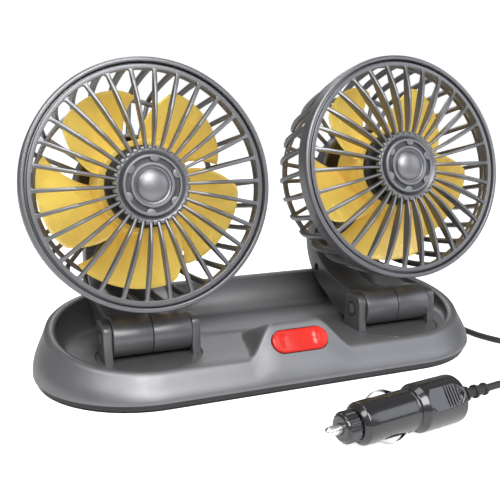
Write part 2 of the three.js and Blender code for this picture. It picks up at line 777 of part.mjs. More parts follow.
function rearCage() {
  const rim = revolve([
    [seatRadius, beadRise / 2], [rimRadius - beadRise, beadRise / 2], [rimRadius, -beadRise],
    [rimRadius - gap, -wallBack], [wallInner, -wallBack], [seatRadius, -seatDepth],
  ], rimSides);
  const ringBack = gap - cageDepth;
  const ringFront = ringBack + backRingThickness;
  const ringOuter = rimRadius - backRingInset;
  const ringInner = ringOuter - backRingWidth;
  const backRing = revolve([
    [ringInner, ringFront], [ringOuter, ringFront], [ringOuter, ringBack], [ringInner, ringBack],
  ], spokeCount);
  const fins = spin(spokeCount, fin);
  const boss = revolve([
    [0, -bossBack], [bossRadius - bossWall, -bossBack], [bossRadius, bossWall - bossBack],
    [bossRadius, -bossFront], [bossRadius - bossWall, -bossFront],
    [bossRadius - bossWall, bossPlate - bossBack], [0, bossPlate - bossBack],
  ]);
  const webTop = lugRadius - rimRise + bossWall;
  const webFoot = -lugRadius - rimRise - bossWall;
  const web = outline([
    [webTop, overrun - bossBack], [lugRadius - rimRise, -rimForward], [-lugRadius - rimRise, -rimForward],
    [webFoot, overrun - bossBack],
  ]);
  const lug = join(
    prismAlongX(web, -lugHalfWidth, lugHalfWidth),
    barAlongX(lugRadius, -lugHalfWidth, lugHalfWidth, ringSides).translate(0, -rimRise, -rimForward),
  );
  const far = lugHalfWidth + overrun;
  const hole = barAlongX(pinRadius + gap, -far, far).translate(0, -rimRise, -rimForward);
  return cut(join(rim, backRing, ...fins, boss, lug), hole);
}

function frontGrille() {
  const outer = seatRadius - gap;
  const flat = outer - grilleGroove;
  const inner = flat - grilleWidth;
  const front = -grilleInset;
  const rim = revolve([
    [inner, front], [flat, front], [outer, front - grilleStep], [outer, gap - seatDepth],
    [outer - grilleSkirt, gap - seatDepth], [inner, front - grilleThickness],
  ], rimSides);
  // Shares: way from rim to hub, front and back height of the spoke in the dome's rise
  const spokeShares = [[-0.04, -0.1, -0.5], [0.52, 1.03, -0.38], [1, 0.54, -0.14]];
  const spokes = spin(spokeCount, (angle) => {
    const stations = spokeShares.map(([way, frontShare, backShare]) => {
      const radius = lerp(inner, hubOuter - toothReach, way);
      const width = lerp(spokeRimWidth, spokeHubWidth, way);
      return { face: [radius, frontShare * domeRise], ridge: [radius, backShare * domeRise], width };
    });
    return radialBar(stations, angle);
  });
  const toothed = spin(spokeCount, (angle) => {
    const corners = [[hubOuter, angle], [hubOuter + toothReach, angle + Math.PI / spokeCount]];
    return corners.map(([r, a]) => [r * Math.cos(a), r * Math.sin(a)]);
  }).flat();
  const hub = cut(
    prism(outline(toothed), hubBack, hubFront),
    bar(hubRecess - hubDish, hubFloor, hubFront, ringSides, hubRecess),
    bar(capStub + gap, hubBack - overrun, hubFront, pinSides),
  );
  return join(rim, ...spokes, hub);
}

function hubCap() {
  const back = hubFloor + gap;
  const radius = hubRecess - hubDish - capClearance;
  const ringOuter = radius - capChamfer;
  const grooveOuter = ringOuter - capRingWidth;
  const grooveInner = grooveOuter - capGrooveWidth;
  const ringInner = grooveInner - capInnerRing;
  const grooveFloor = capFront - capGrooveDepth;
  const domeFoot = capFront - capWell;
  const domeRadius = ringInner - capWellWidth;
  const profile = [
    [0, hubBack], [capStub, hubBack], [capStub, back], [radius, back], [radius, capFront - capChamfer],
    [ringOuter, capFront], [grooveOuter, capFront], [grooveOuter, grooveFloor], [grooveInner, grooveFloor],
    [grooveInner, capFront], [ringInner, capFront], [domeRadius, domeFoot],
    [domeRadius * Math.cos(quarterTurn / 2), domeFoot + capDomeRise * Math.sin(quarterTurn / 2)],
    [0, domeFoot + capDomeRise],
  ];
  const halfMoon = new THREE.Shape();
  halfMoon.absarc(grooveOuter - capRingWidth / 2, 0, capTabRadius, quarterTurn, 3 * quarterTurn);
  const tabs = spin(capTabs, (angle) => {
    return prism(halfMoon, grooveFloor - overrun, capFront - gap, capTabSides).rotateZ(angle + quarterTurn / 4);
  });
  return join(revolve(profile, capSides), ...tabs);
}

function stator() {
  const tube = bushRadius + gap + tubeWall;
  const flangeFace = bossPlate + gap - bossBack;
  const corners = spin(statorPoles, (angle) => {
    const head = Math.PI / statorPoles - 3 * degree;
    const neck = head / 3;
    const valley = statorRadius / 2;
    const pole = [[valley, -neck], [statorRadius, -head], [statorRadius, head], [valley, neck]];
    return pole.map(([r, a]) => [r * Math.cos(angle + a), r * Math.sin(angle + a)]);
  }).flat();
  const body = join(
    prism(outline(corners), -statorBack, -statorFront),
    bar(tube, flangeFace, -statorFront),
    bar(statorFlange, flangeFace, flangeFace + bellWall, ringSides),
  );
  return cut(body, bar(bushRadius + gap, -shaftBack - gap, overrun - statorFront));
}

function motorBell() {
  const cup = revolve([
    [0, -bellFront], [bellRadius, -bellFront], [bellRadius, -bellBack], [bellRadius - bellWall, -bellBack],
    [bellRadius - bellWall, -bellFront - bellWall], [bellHub, -bellFront - bellWall],
    [bellHub, -bellFront - bellWall - bellHubLength], [0, -bellFront - bellWall - bellHubLength],
  ]);
  return cut(cup, bar(shaftRadius + gap, -bellBack, overrun - bellFront, screwSides));
}

function bladeSurface(across, along) {
  // across 0 leading to 1 trailing, along 0 root to 1 tip
  const root = bellRadius + gap + rotorRing / 2;
  const tip = bladeRadius + bladeBulge * 4 * across * (1 - across);
  const radius = lerp(root, tip, along);
  const swept = along ** bladeSweepShare;
  const lead = lerp(bladeLeadRoot, bladeLead, swept);
  const trail = lerp(bladeTrailRoot, bladeTrail, swept);
  const angle = lerp(lead, trail, across) * degree;
  const leadDepth = lerp(bladeRootLeadDepth, bladeLeadDepth, along);
  const trailDepth = lerp(bladeRootTrailDepth, bladeTrailDepth, along);
  const camber = bladeCamber * 4 * across * (1 - across) * along;
  return point(radius * Math.cos(angle), radius * Math.sin(angle), camber - lerp(leadDepth, trailDepth, across));
}

function blade(turn) {
  const acrossSteps = 3;
  const alongSteps = 2;
  const small = 1e-3;
  const rings = [];
  for (let j = 0; j <= alongSteps; j += 1) {
    const along = j / alongSteps;
    const front = [];
    const back = [];
    for (let i = 0; i <= acrossSteps; i += 1) {
      const across = i / acrossSteps;
      const at = bladeSurface(across, along);
      const du = bladeSurface(across + small, along).sub(at);
      const dv = bladeSurface(across, along + small).sub(at);
      const half = du.cross(dv).normalize().multiplyScalar(bladeThickness / 2);
      front.push(at.clone().add(half));
      back.unshift(at.clone().sub(half));
    }
    rings.push([...front, ...back]);
  }
  return blankLoft(rings).rotateZ(turn);
}

// Like loft, but its ends are strips between the front and the back half of the ring
function blankLoft(rings) {
  const count = rings[0].length;
  const position = rings.flat().flatMap((p) => [p.x, p.y, p.z]);
  const index = [];
  for (let k = 0; k + 1 < rings.length; k += 1) {
    for (let i = 0; i < count; i += 1) {
      const a = k * count + i;
      const b = k * count + ((i + 1) % count);
      index.push(a, b, b + count, a, b + count, a + count);
    }
  }
  const last = (rings.length - 1) * count;
  for (let i = 0; i + 1 < count / 2; i += 1) {
    const opposite = count - 1 - i;
    index.push(i + 1, i, opposite, i + 1, opposite, opposite - 1);
    index.push(last + i, last + i + 1, last + opposite, last + i + 1, last + opposite - 1, last + opposite);
  }
  const geometry = new THREE.BufferGeometry();
  geometry.setAttribute('position', new THREE.Float32BufferAttribute(position, 3));
  geometry.setIndex(index);
  return geometry;
}

function fanRotor() {
  const inner = bellRadius + gap;
  const outer = inner + rotorRing;
  const ring = revolve([[inner, -rotorFront], [outer, -rotorFront], [outer, -rotorBack], [inner, -rotorBack]]);
  return join(ring, ...spin(bladeCount, blade));
}

function addHead(group, name) {
  piece(group, `${name}_rear_cage`, rearCage(), graphite, 0.42, 0.2);
  piece(group, `${name}_front_grille`, frontGrille(), graphite, 0.4, 0.25);
  piece(group, `${name}_hub_cap`, hubCap(), graphite, 0.3, 0.4);
  piece(group, `${name}_motor_stator`, stator(), copper, 0.5, 0.4);
  const bush = cut(
    bar(bushRadius, -bushBack, -bushFront),
    bar(shaftRadius + gap, -bushBack - overrun, overrun - bushFront, screwSides),
  );
  piece(group, `${name}_shaft_bushing`, bush, copper, 0.4, 0.7);
}

function addRotor(group, name) {
  piece(group, `${name}_motor_bell`, motorBell(), black, 0.5, 0.3);
  piece(group, `${name}_motor_shaft`, bar(shaftRadius, -shaftBack, -shaftFront, screwSides), steel, 0.3, 0.9);
  piece(group, `${name}_fan_rotor`, fanRotor(), amber, 0.3);
}

// Plug, along +Z from its tip, then laid on the floor
function plugBarrel() {
  const nose = barrelFront + barrelChamfer;
  const body = revolve([
    [0, barrelFront], [barrelNose, barrelFront], [barrelRound, nose], [barrelRound, barrelBack],
    [barrelSpigot, barrelBack], [barrelSpigot, barrelBack + barrelSpigotLength], [0, barrelBack + barrelSpigotLength],
  ]);
  const slotSide = contactWidth / 2 + gap;
  const slotFloor = barrelRound - contactThickness - contactTravel - 2 * gap - overrun;
  const contactEnd = contactFront + contactLength;
  const far = barrelRound + overrun;
  return cut(
    body,
    bar(boreRadius, barrelFront - overrun, barrelBack),
    block(-far, -slotFloor, -slotSide, slotSide, contactFront - gap, contactEnd + gap),
    block(slotFloor, far, -slotSide, slotSide, contactFront - gap, contactEnd + gap),
  );
}

function plugCollar() {
  const back = collarFront + collarLength;
  const edge = spin(collarRidges, (angle) => {
    const corners = [[collarRadius, angle], [collarRadius + collarRidge, angle + Math.PI / collarRidges]];
    return corners.map(([r, a]) => [r * Math.cos(a), r * Math.sin(a)]);
  }).flat();
  const wall = 2 * collarRidge;
  return cut(
    join(prism(outline(edge), collarFront + wall, back), bar(collarRadius - wall, collarFront, back, ringSides)),
    bar(tipRadius + gap, collarFront - overrun, back),
    bar(tipFlange + gap, tipLength - gap, back + overrun),
  );
}

function plugContact() {
  // Shares of the strip's length and of its bulge
  const stripShares = [[0, 0], [0.12, 0.1], [0.3, 0.8], [0.5, 1], [0.7, 0.8], [0.88, 0.1], [1, 0]];
  const foot = barrelRound - gap - contactThickness;
  const place = ([along, out]) => [foot + out * contactBulge, contactFront + along * contactLength];
  const inner = stripShares.map(place);
  const outer = inner.map(([r, z]) => [r + contactThickness, z]).reverse();
  const half = contactWidth / 2;
  return prism(outline([...inner, ...outer]), -half, half).rotateX(quarterTurn);
}

function plugHandle() {
  const front = barrelBack + gap;
  const body = revolve([
    [0, front], [barrelRound, front], [handleRadius, front + handleTaper], [handleRadius, handleBack - handleEdge],
    [handleRadius - handleEdge, handleBack], [0, handleBack],
  ]);
  const middle = (front + handleTaper + handleBack) / 2;
  const recessFace = handleRadius - gripDepth;
  const recessShape = stadium(gripLength / 2, gripHalfWidth);
  const recess = prism(recessShape, recessFace, handleRadius + overrun, 2).rotateY(quarterTurn);
  const ribs = Array.from({ length: gripRibs }, (unused, i) => {
    const start = middle + gripRibWidth + 2 * i * gripRibWidth;
    const half = gripHalfWidth * 0.8;
    return block(recessFace - overrun, handleRadius - gap, -half, half, start, start + gripRibWidth);
  });
  const sides = [0, Math.PI].map((angle) => angle + quarterTurn);
  const recesses = sides.map((angle) => recess.clone().translate(0, 0, middle).rotateZ(angle));
  const ribSets = sides.flatMap((angle) => ribs.map((rib) => rib.clone().rotateZ(angle)));
  const bore = bar(barrelSpigot + gap, front - overrun, barrelBack + barrelSpigotLength + gap, ringSides);
  return join(cut(body, bore, ...recesses), ...ribSets);
}

function strainRelief() {
  const start = handleBack + gap;
  const end = handleBack + reliefLength;
  const ribsStart = start + reliefFootLength;
  const pitch = (end - reliefRibWidth - ribsStart) / (reliefRibs - 1);
  const ribs = Array.from({ length: reliefRibs }, (unused, i) => {
    const from = ribsStart + pitch * i;
    const radius = lerp(reliefRib, reliefEndRib, i / (reliefRibs - 1));
    return [[radius, from], [radius, from + reliefRibWidth], [reliefRadius, from + reliefRibWidth]];
  });
  const profile = [[0, start], [reliefFoot, start], [reliefFoot, ribsStart]];
  ribs.forEach((rib, i) => profile.push(...(i > 0 ? [[reliefRadius, rib[0][1]]] : []), ...rib));
  profile[profile.length - 1][0] = 0;
  return revolve(profile, reliefSides);
}

function addPlug(group) {
  piece(group, 'plug_barrel', plugBarrel(), black, 0.25, 0.2);
  piece(group, 'plug_collar', plugCollar(), black, 0.35, 0.1);
  const tip = join(
    bar(tipRadius, 0, tipLength), bar(tipFlange, tipLength, tipLength + tipFlangeLength),
  );
  piece(group, 'plug_tip', tip, steel, 0.2, 1);
  const fuseStart = tipLength + tipFlangeLength + gap;
  piece(group, 'plug_fuse', bar(fuseRadius, fuseStart, fuseStart + fuseLength), clearGlass, 0.1);
  piece(group, 'plug_contact_upper', geometryOf(plugContact()).rotateZ(Math.PI), steel, 0.25, 1);
  piece(group, 'plug_contact_lower', plugContact(), steel, 0.25, 1);
  piece(group, 'plug_handle', plugHandle(), black, 0.3, 0.1);
  piece(group, 'strain_relief', strainRelief(), black, 0.5);
}

// Lead: a spiral coil in two layers, in to its middle and out again
function coilPath() {
  const middle = coilTurns / 2;
  const climb = 0.5; // turns
  const layers = [cordRadius, cordRadius + coilPitch];
  const steps = Math.round(coilTurns * coilSteps);
  const path = [];
  for (let i = 0; i <= steps; i += 1) {
    const turn = (i / steps) * coilTurns;
    const angle = turn * 2 * Math.PI - quarterTurn;
    const radius = coilInner + coilPitch * Math.abs(turn - middle);
    const climbed = THREE.MathUtils.clamp((turn - middle) / climb + 0.5, 0, 1);
    const height = lerp(layers[0], layers[1], climbed);
    path.push(point(coilCentre[0] + radius * Math.cos(angle), coilCentre[1] + radius * Math.sin(angle), height));
  }
  const lead = 2 * cordRadius;
  path.unshift(path[0].clone().add(point(-lead, 0, 0)));
  path.push(path[path.length - 1].clone().add(point(0, lead, 0)));
  return path;
}

// Rings of a section square to the path, with the section's first corner kept level
function sweep(path, radius, sides) {
  const up = point(0, 0, 1);
  return path.map((at, i) => {
    const before = path[Math.max(i - 1, 0)];
    const after = path[Math.min(i + 1, path.length - 1)];
    const along = after.clone().sub(before).normalize();
    const aside = along.clone().cross(up).normalize();
    const above = aside.clone().cross(along);
    return Array.from({ length: sides }, (unused, k) => {
      const angle = ((k + 0.5) / sides) * 2 * Math.PI;
      const offset = aside.clone().multiplyScalar(radius * Math.cos(angle));
      return at.clone().add(offset).add(above.clone().multiplyScalar(radius * Math.sin(angle)));
    });
  });
}

function leastCoilGap(path) {
  let least = Infinity;
  const apart = Math.round(coilSteps / 2);
  for (let i = 0; i < path.length; i += 1) {
    for (let k = i + apart; k + 1 < path.length; k += 1) {
      const nearest = new THREE.Line3(path[k], path[k + 1]).closestPointToPoint(path[i], true, point(0, 0, 0));
      least = Math.min(least, nearest.distanceTo(path[i]));
    }
  }
  return least - 2 * cordRadius;
}

function freeLead(start, route, end) {
  const points = [start, ...route.map((p) => point(...p)), end];
  const curve = new THREE.CatmullRomCurve3(points, false, 'centripetal');
  const steps = Math.round(curve.getLength() / (6 * cordRadius));
  const section = new THREE.Shape();
  for (let k = 0; k < cordSides; k += 1) {
    const angle = ((k + 0.5) / cordSides) * 2 * Math.PI;
    const [x, y] = [cordRadius * Math.cos(angle), cordRadius * Math.sin(angle)];
    if (k === 0) section.moveTo(x, y);
    else section.lineTo(x, y);
  }
  return { shape: new THREE.ExtrudeGeometry(section, { extrudePath: curve, steps }), length: curve.getLength() };
}

function addLead(group) {
  const path = coilPath();
  const coil = loft(sweep(path, cordRadius, coilSides));
  piece(group, 'cord_coil', coil, black, 0.6);
  const plugAngle = plugTurn * degree;
  const reach = handleBack + reliefLength + gap;
  const plugEnd = point(
    plugPlace[0] + reach * Math.cos(plugAngle), plugPlace[1] + reach * Math.sin(plugAngle), handleRadius,
  );
  const coilStart = path[0].clone().add(point(-gap, 0, 0));
  const plugLead = freeLead(plugEnd, plugLeadRoute, coilStart);
  piece(group, 'cord_from_plug', plugLead.shape, black, 0.6);
  const coilEnd = path[path.length - 1].clone().add(point(0, gap, 0));
  const glandEnd = point(glandX, endRadius + skirtBulge + glandBootLength + 2 * gap, glandHeight);
  const baseLead = freeLead(coilEnd, baseLeadRoute, glandEnd);
  piece(group, 'cord_to_base', baseLead.shape, black, 0.6);
  const coilLength = path.slice(1).reduce((sum, p, i) => sum + p.distanceTo(path[i]), 0);
  const total = plugLead.length + coilLength + baseLead.length;
  console.log(`coil: least gap ${leastCoilGap(path).toFixed(2)} mm, length ${coilLength.toFixed(0)} mm`);
  console.log(`lead: ${plugLead.length.toFixed(0)} + ${baseLead.length.toFixed(0)} mm free, ${total.toFixed(0)} mm in all`);
}

function addFan(part, name, side, pitch) {
  const turn = new THREE.Group();
  turn.position.set(side * turnX, turnY, 0);
  addTurntable(turn, name);
  const arm = new THREE.Group();
  arm.position.z = hingeHeight;
  addArm(arm, name);
  const nod = new THREE.Group();
  nod.position.set(0, pivotY, pivotUp);
  nod.rotation.x = quarterTurn - pitch * degree;
  const head = new THREE.Group();
  head.position.set(0, rimRise, rimForward);
  addHead(head, name);
  addRotor(head, name);
  nod.add(head);
  arm.add(nod);
  turn.add(arm);
  part.add(turn);
}

const part = new THREE.Group();
addBase(part);
addFan(part, 'left', -1, pitchLeft);
addFan(part, 'right', 1, pitchRight);
const plug = new THREE.Group();
plug.position.set(...plugPlace, handleRadius);
plug.rotation.order = 'ZYX';
plug.rotation.set(0, quarterTurn, plugTurn * degree);
const rolled = new THREE.Group();
rolled.rotation.z = -plugRoll * degree;
addPlug(rolled);
plug.add(rolled);
part.add(plug);
addLead(part);

export default part;
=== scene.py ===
"""Dual head car fan: camera, stage, cord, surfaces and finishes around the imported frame."""

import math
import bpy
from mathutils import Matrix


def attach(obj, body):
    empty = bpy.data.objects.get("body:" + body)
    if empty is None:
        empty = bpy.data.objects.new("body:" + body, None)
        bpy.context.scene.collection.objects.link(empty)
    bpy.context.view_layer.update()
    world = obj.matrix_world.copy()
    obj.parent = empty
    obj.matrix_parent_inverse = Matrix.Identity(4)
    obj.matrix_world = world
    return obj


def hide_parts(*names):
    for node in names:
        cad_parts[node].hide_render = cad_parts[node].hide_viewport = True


bl_info = {
    "name": "Dual head car fan",
    "version": (1, 0, 0),
    "blender": (4, 5, 0),
    "location": "View3D > Sidebar > Car fan",
    "description": "Dresses the packed frame of a twin dashboard fan with smooth moulded surfaces",
    "category": "Object",
}

import bmesh
import bpy
import numpy as np
from bpy.props import BoolProperty, FloatProperty, FloatVectorProperty, PointerProperty
from mathutils import Vector

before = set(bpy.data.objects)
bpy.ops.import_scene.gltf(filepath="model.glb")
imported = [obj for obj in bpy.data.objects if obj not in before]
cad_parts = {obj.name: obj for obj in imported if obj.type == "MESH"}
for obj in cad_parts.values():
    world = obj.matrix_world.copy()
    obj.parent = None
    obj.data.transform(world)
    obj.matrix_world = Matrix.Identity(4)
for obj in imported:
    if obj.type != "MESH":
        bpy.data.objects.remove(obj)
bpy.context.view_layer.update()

# Sizes in millimetres unless their name says otherwise. A profile is a list of (radius, height) points.
MM = 0.001
GAP = 0.3
AXIS = 0.01
CUT_EDGE = 0.01
CREASE = 38.0
TINY = 1e-9

# Stage, in metres, degrees and watts
CAMERA_PLACE = (-0.18484, -0.42659, 0.16561)
CAMERA_TURN = (78.22, 0, -22.4)
CAMERA_LENS = 55.17
LAMPS = {
    "key": ((-0.75, -0.45, 1.0), 0.45, 4.0, (1, 1, 1)),
    "fill": ((0.87, -0.63, 0.5), 0.7, 3.0, (0.88, 0.92, 1.0)),
    "front": ((-0.12, -0.9, 0.84), 0.7, 13.0, (1, 1, 1)),
    "back": ((0.25, 0.9, 0.8), 0.6, 2.5, (1, 1, 1)),
    "top": ((-0.1, 0.0, 1.1), 0.5, 2.5, (1, 1, 1)),
}
LAMP_AIM = (0, 0, 0.08)
BACKDROP = (0.22, 1.0)
FLOOR_GLOW = (0.1, 0.82)
FLOOR_HALF = 9.0

# Base shell
FOOT_LENGTH = 280.0
FOOT_WIDTH = 120.6
FOOT_HEIGHT = 1.3
SKIRT_HEIGHT = 6.5
SKIRT_BAND = 4.6
SKIRT_BULGE = 1.9
SHELL_WALL = 2.4
TRAY_HEIGHT = 18.9
CREST_FRONT = 19.6
CREST_SLOPE = 0.2028
CREST_INSET = 8.8
CREST_HALF = 2.9
CREST_ROLL = 1.3
FLANK_BULGE = 1.4
WALL_RUN_SHARE = 0.62
END_RADIUS = FOOT_WIDTH / 2
END_CENTRE = FOOT_LENGTH / 2 - END_RADIUS
CREST_RADIUS = END_RADIUS - CREST_INSET
WIDEST = END_RADIUS + SKIRT_BULGE
FLANK_SLOPE = (CREST_FRONT - CREST_ROLL - SKIRT_HEIGHT) / (WIDEST - CREST_RADIUS - CREST_HALF)
FLANK_TILT = math.atan(FLANK_SLOPE)
SKIRT_PROFILE = [
    (WIDEST + 0.02, 5.6), (WIDEST - 0.35, SKIRT_BAND), (END_RADIUS + 0.55, SKIRT_BAND - 0.1),
    (END_RADIUS, FOOT_HEIGHT + 0.2), (END_RADIUS - 0.2, FOOT_HEIGHT), (END_RADIUS - SHELL_WALL, FOOT_HEIGHT),
    (WIDEST - SHELL_WALL, SKIRT_HEIGHT - SHELL_WALL / 2),
]
END_STEPS = 73
FRONT_STEPS = 159
BACK_STEPS = 39
PLATE_TOP = 3.3
PAD_TOP = 1.0
PAD_INSET = 0.9

# Switch
SWITCH_X = 1.3
PLATFORM_HEIGHT = 35.0
PLATFORM_TOP_HALF = 14.0
PLATFORM_FOOT_HALF = 33.0
PLATFORM_BACK = -3.0
ROCKER_LENGTH = 34.8
ROCKER_WIDTH = 13.5
ROCKER_HEIGHT = 25.5
ROCKER_PROUD = 2.4
ROCKER_DIP = 1.1
ROCKER_DEPTH = 3.4
ROCKER_RUNNING = 0.5
ROCKER_RIM = 0.9
ROCKER_RIM_SHARE = 0.14
ROCKER_PAD = 0.35
ROCKER_PAD_X = 10.2
ROCKER_PAD_HALF = 1.6
ROCKER_PAD_SIDE = (2.6, 4.4)
ROCKER_SHARES = (0.02, 0.12, 0.24, 0.36, 0.48, 0.6, 0.72, 0.82, 0.9, 0.95, 0.98, 1.0)
POCKET = (-2.2, 8.0)

# Gland, turntables and hinges
GLAND_X = 60.0
GLAND_HEIGHT = 9.0
GLAND_REACH = 10.3
GLAND_RING = 0.7
GLAND_CONE = [(3.4, -5.0), (3.4, 0.0), (5.0, 0.01), (5.0, 1.5), (4.2, 1.6), (3.0, 10.0)]
TURN_X = 79.5
TURN_Y = -20.7
TURN_RADIUS = 30.0
TURN_THICKNESS = 2.3
TURN_RUNNING = 0.4
TURN_CUT_TOP = 60.0
SPIGOT_RADIUS = 11.0
SPIGOT_DROP = 2.8
HINGE_HEIGHT = 31.0
EAR_INNER = 22.7
EAR_OUTER = 27.7
EAR_HALF = 9.3
EAR_FOOT_HALF = EAR_HALF + 1.2
EAR_TOP = 40.4
EAR_CORNER = 6.0
PIN_RECESS = 3.4
PIN_DEPTH = 1.6

# Arms
BARREL_RADIUS = 11.3
ARM_HALF = 22.3
ARM_PROUD = 0.06
PIVOT_Y = 60.0
PIVOT_Z = 93.0
PIVOT_UP = PIVOT_Z - HINGE_HEIGHT
KNUCKLE_RADIUS = 9.5
EYE_START = math.radians(18)
SLOT_HALF = 8.3
SLOT_RADIUS = 12.0
ARM_SCREW_Y = 59.4
ARM_SCREW_Z = 44.8
ARM_WELL_RADIUS = 2.8
BELLY = [(0, 19.7), (18, 19.7), (36, 25.0), (46.8, 29.8), (60, 36.5), (69, 44.2), (74.2, 53.0), (76.6, 62.7)]
THROAT = [
    (65, 66.0), (62.7, 60.4), (60, 56.3), (54.6, 51.3), (47.6, 47.3), (39.6, 43.9), (30, 41.6), (16, 39.8),
    (0, 42.0),
]
PIVOT_PIN = [
    (AXIS, -22.25), (2.4, -22.2), (3.5, -21.6), (3.6, -20.3), (2, -20.3), (2, 21.8), (1.7, 22.0),
    (AXIS, 22.0),
]

# Heads: x right, y up, z forwards from the middle of the rim. Each list of roundings has one radius for
# each corner of the profile above it.
PITCHES = {"left": 9.6, "right": 12.8}
SIDES = {"left": -1.0, "right": 1.0}
RIM_FORWARD = 76.9
RIM_RISE = 10.8
SEAT_RADIUS = 64.9
SPOKES = 30
CAGE_RIM = [
    (SEAT_RADIUS, -1.4), (65.0, 0.1), (65.4, 0.5), (66.6, 0.5), (67.4, 0.0), (67.7, -1.0), (67.4, -10.2),
    (62.2, -10.2), (62.2, -7.6), (63.4, -6.6), (64.9, -6.5),
]
CAGE_RIM_ROUNDING = [0.3, 0.3, 0.3, 0.4, 0.5, 0.6, 0.5, 0.3, 0.5, 0.3, 0.1]
CAGE_RING = [(52.7, -57.0), (55.5, -57.0), (55.5, -60.0), (52.7, -60.0)]
CAGE_BOSS = [
    (AXIS, -62.0), (9, -62), (9, -61.2), (26, -61.2), (26, -62), (30.3, -62), (32.5, -59.8), (32.5, -46.5),
    (30.3, -46.5), (30.3, -58), (AXIS, -58),
]
CAGE_BACK = -61.0
FIN_SIDE = [(65.0, -9.6), (64.5, -18), (63.5, -28), (62.2, -37), (60.7, -45), (59.1, -50.8), (57.6, -55.4)]
FIN_HOOK = [(57.6, -55.4), (56.4, -57.9), (54.2, -59.1), (50.0, -59.15), (42.0, -59.15), (31.0, -59.15)]
FIN_DEPTHS = [(9, 3.8), (45, 3.8), (52, 3.4), (57.9, 2.6), (59.2, 2.3)]
FIN_WIDTH = 2.7
FIN_FILLET = 3.0
FIN_FLARE_START = -13.2
FIN_FLARE = 2.9
LUG_HALF = 7.9
LUG_RADIUS = 9.2
LUG_FLARE = 2.2
GRILLE_RIM = [
    (61.3, -0.4), (63.7, -0.4), (63.75, -2.2), (64.6, -2.3), (64.6, -6.2), (62.8, -6.2), (62.6, -3.2),
    (61.3, -2.8),
]
GRILLE_RIM_ROUNDING = [0.4, 0.35, 0.1, 0.1, 0.2, 0.2, 0.4, 0.4]
SPOKE_FRONT = [
    (18.5, 2.0), (20, 2.4), (22, 3.0), (26, 4.1), (29, 4.7), (32, 5.0), (36, 5.1), (40, 4.9), (45, 4.2),
    (50, 3.1), (55, 1.7), (59, 0.3), (61.4, -0.4), (62.4, -0.6),
]
SPOKE_BACK = [(18.5, -0.7), (26, -0.9), (32, -1.2), (40, -1.7), (50, -2.1), (62.4, -2.5)]
SPOKE_ENDS = (62.3, 18.9)
SPOKE_FILLET = 1.3
SPOKE_FLARE_START = 60.1
SPOKE_FLARE = 1.25
HUB_SIDES = 720
HUB_RADIUS = 19.4
HUB_TOOTH = 1.4
HUB_RECESS = 18.4
HUB_FLOOR_RADIUS = 16.7
HUB_BORE = 3.3
CAP_PROFILE = [
    (AXIS, 1.5), (16.3, 1.5), (16.3, 3.5), (15.8, 4.0), (14.8, 4.0), (14.75, 2.6), (11.85, 2.6), (11.8, 4.0),
    (10.3, 4.0), (9.9, 3.2), (8.92, 3.0),
]
CAP_ROUNDING = [0.2, 0.2, 0.15, 0.2, 0.2, 0.15, 0.15, 0.2, 0.2, 0.2, 0.1]
CAP_GROOVE = (11.6, 14.9)
CAP_GROOVE_LEVELS = (2.1, 2.9)
DOME_RADIUS = 8.9
DOME_FOOT = 3.1
DOME_RISE = 3.4
TABS = 6
TAB_RADIUS = 2.6
TAB_LEVELS = (2.0, 3.7)
TAB_START = math.radians(22.5)

# Rotor
BLADES = 5
BELL_RADIUS = 22.3
BELL_PROFILE = [
    (1.8, -9), (BELL_RADIUS, -9), (BELL_RADIUS, -32), (20.3, -32), (20.3, -11), (4.5, -11), (4.5, -15),
    (1.8, -15),
]
BELL_ROUNDING = [0.1, 1.6, 0.4, 0.4, 0.8, 0.4, 0.3, 0.1]
ROTOR_RING = 3.2
ROTOR_LEVELS = (-12, -40)
BLADE_RADIUS = 54.9
BLADE_BULGE = 1.4
BLADE_CORNER = 1.6
BLADE_CAMBER = 2.5
LEADING_ANGLES = (29, 13.3)
TRAILING_ANGLES = (93, 70.2)
LEADING_DEPTHS = (38, 41)
TRAILING_DEPTHS = (16, 14)

# Plug, heights from its tip
PLUG_PLACE = (-29.0, -138.7, 12.3)
PLUG_TURN = math.radians(8.62)
PLUG_ROLL = math.radians(-35.0)
PLUG_REACH = 104.1
TIP_PROFILE = [(AXIS, 0), (1.2, 0.1), (2.4, 1.6), (2.4, 9.5), (3.1, 13), (3.1, 14.5), (AXIS, 14.5)]
COLLAR_PROFILE = [
    (5.6, 8.5), (6.1, 8.6), (6.7, 9.2), (6.9, 9.9), (7.2, 10.2), (7.2, 15.8), (6.9, 16.1), (6.7, 16.45),
    (6.2, 16.5),
]
COLLAR_BORE = (2.75, 3.575)
COLLAR_SIDES = 192
COLLAR_RIDGES = 24
COLLAR_SWELL = 0.5
PLUG_BARREL = [
    (3.6, 16.8), (8.2, 16.8), (10.3, 19.4), (10.5, 24), (10.5, 48.2), (10.1, 48.6), (10.1, 49.4),
    (10.5, 49.8), (10.5, 50.5), (3.6, 50.5),
]
CONTACT_SLOT = [(-2.3, 25.7), (2.3, 25.7), (2.3, 46.3), (-2.3, 46.3)]
CONTACT_SLOT_LEVELS = (7.0, 12.0)
CONTACT_SECTION = [(-2, -0.3), (2, -0.3), (2, 0.3), (-2, 0.3)]
CONTACT_STEPS = 40
CONTACT_START = 26.0
CONTACT_LENGTH = 20.0
CONTACT_FOOT = 9.75
CONTACT_RISE = 3.0
CONTACT_FLAT = 0.06
GRIP_PROFILE = [
    (9.4, 50.8), (9.9, 50.85), (10.4, 51.2), (12.2, 54.2), (12.3, 54.6), (12.3, 78.3), (12.1, 79.0),
    (11.5, 79.4), (11.0, 79.5),
]
GRIP_SIDES = 256
GRIP_RADIUS = 12.3
GRIP_FLAT = 10.9
GRIP_FLAT_MIDDLE = 66.2
GRIP_FLAT_HALF = 4.4
GRIP_FLAT_EDGE = (6.0, 6.8)
GRIP_RIBS = 68.0
GRIP_RIB_PITCH = 1.8
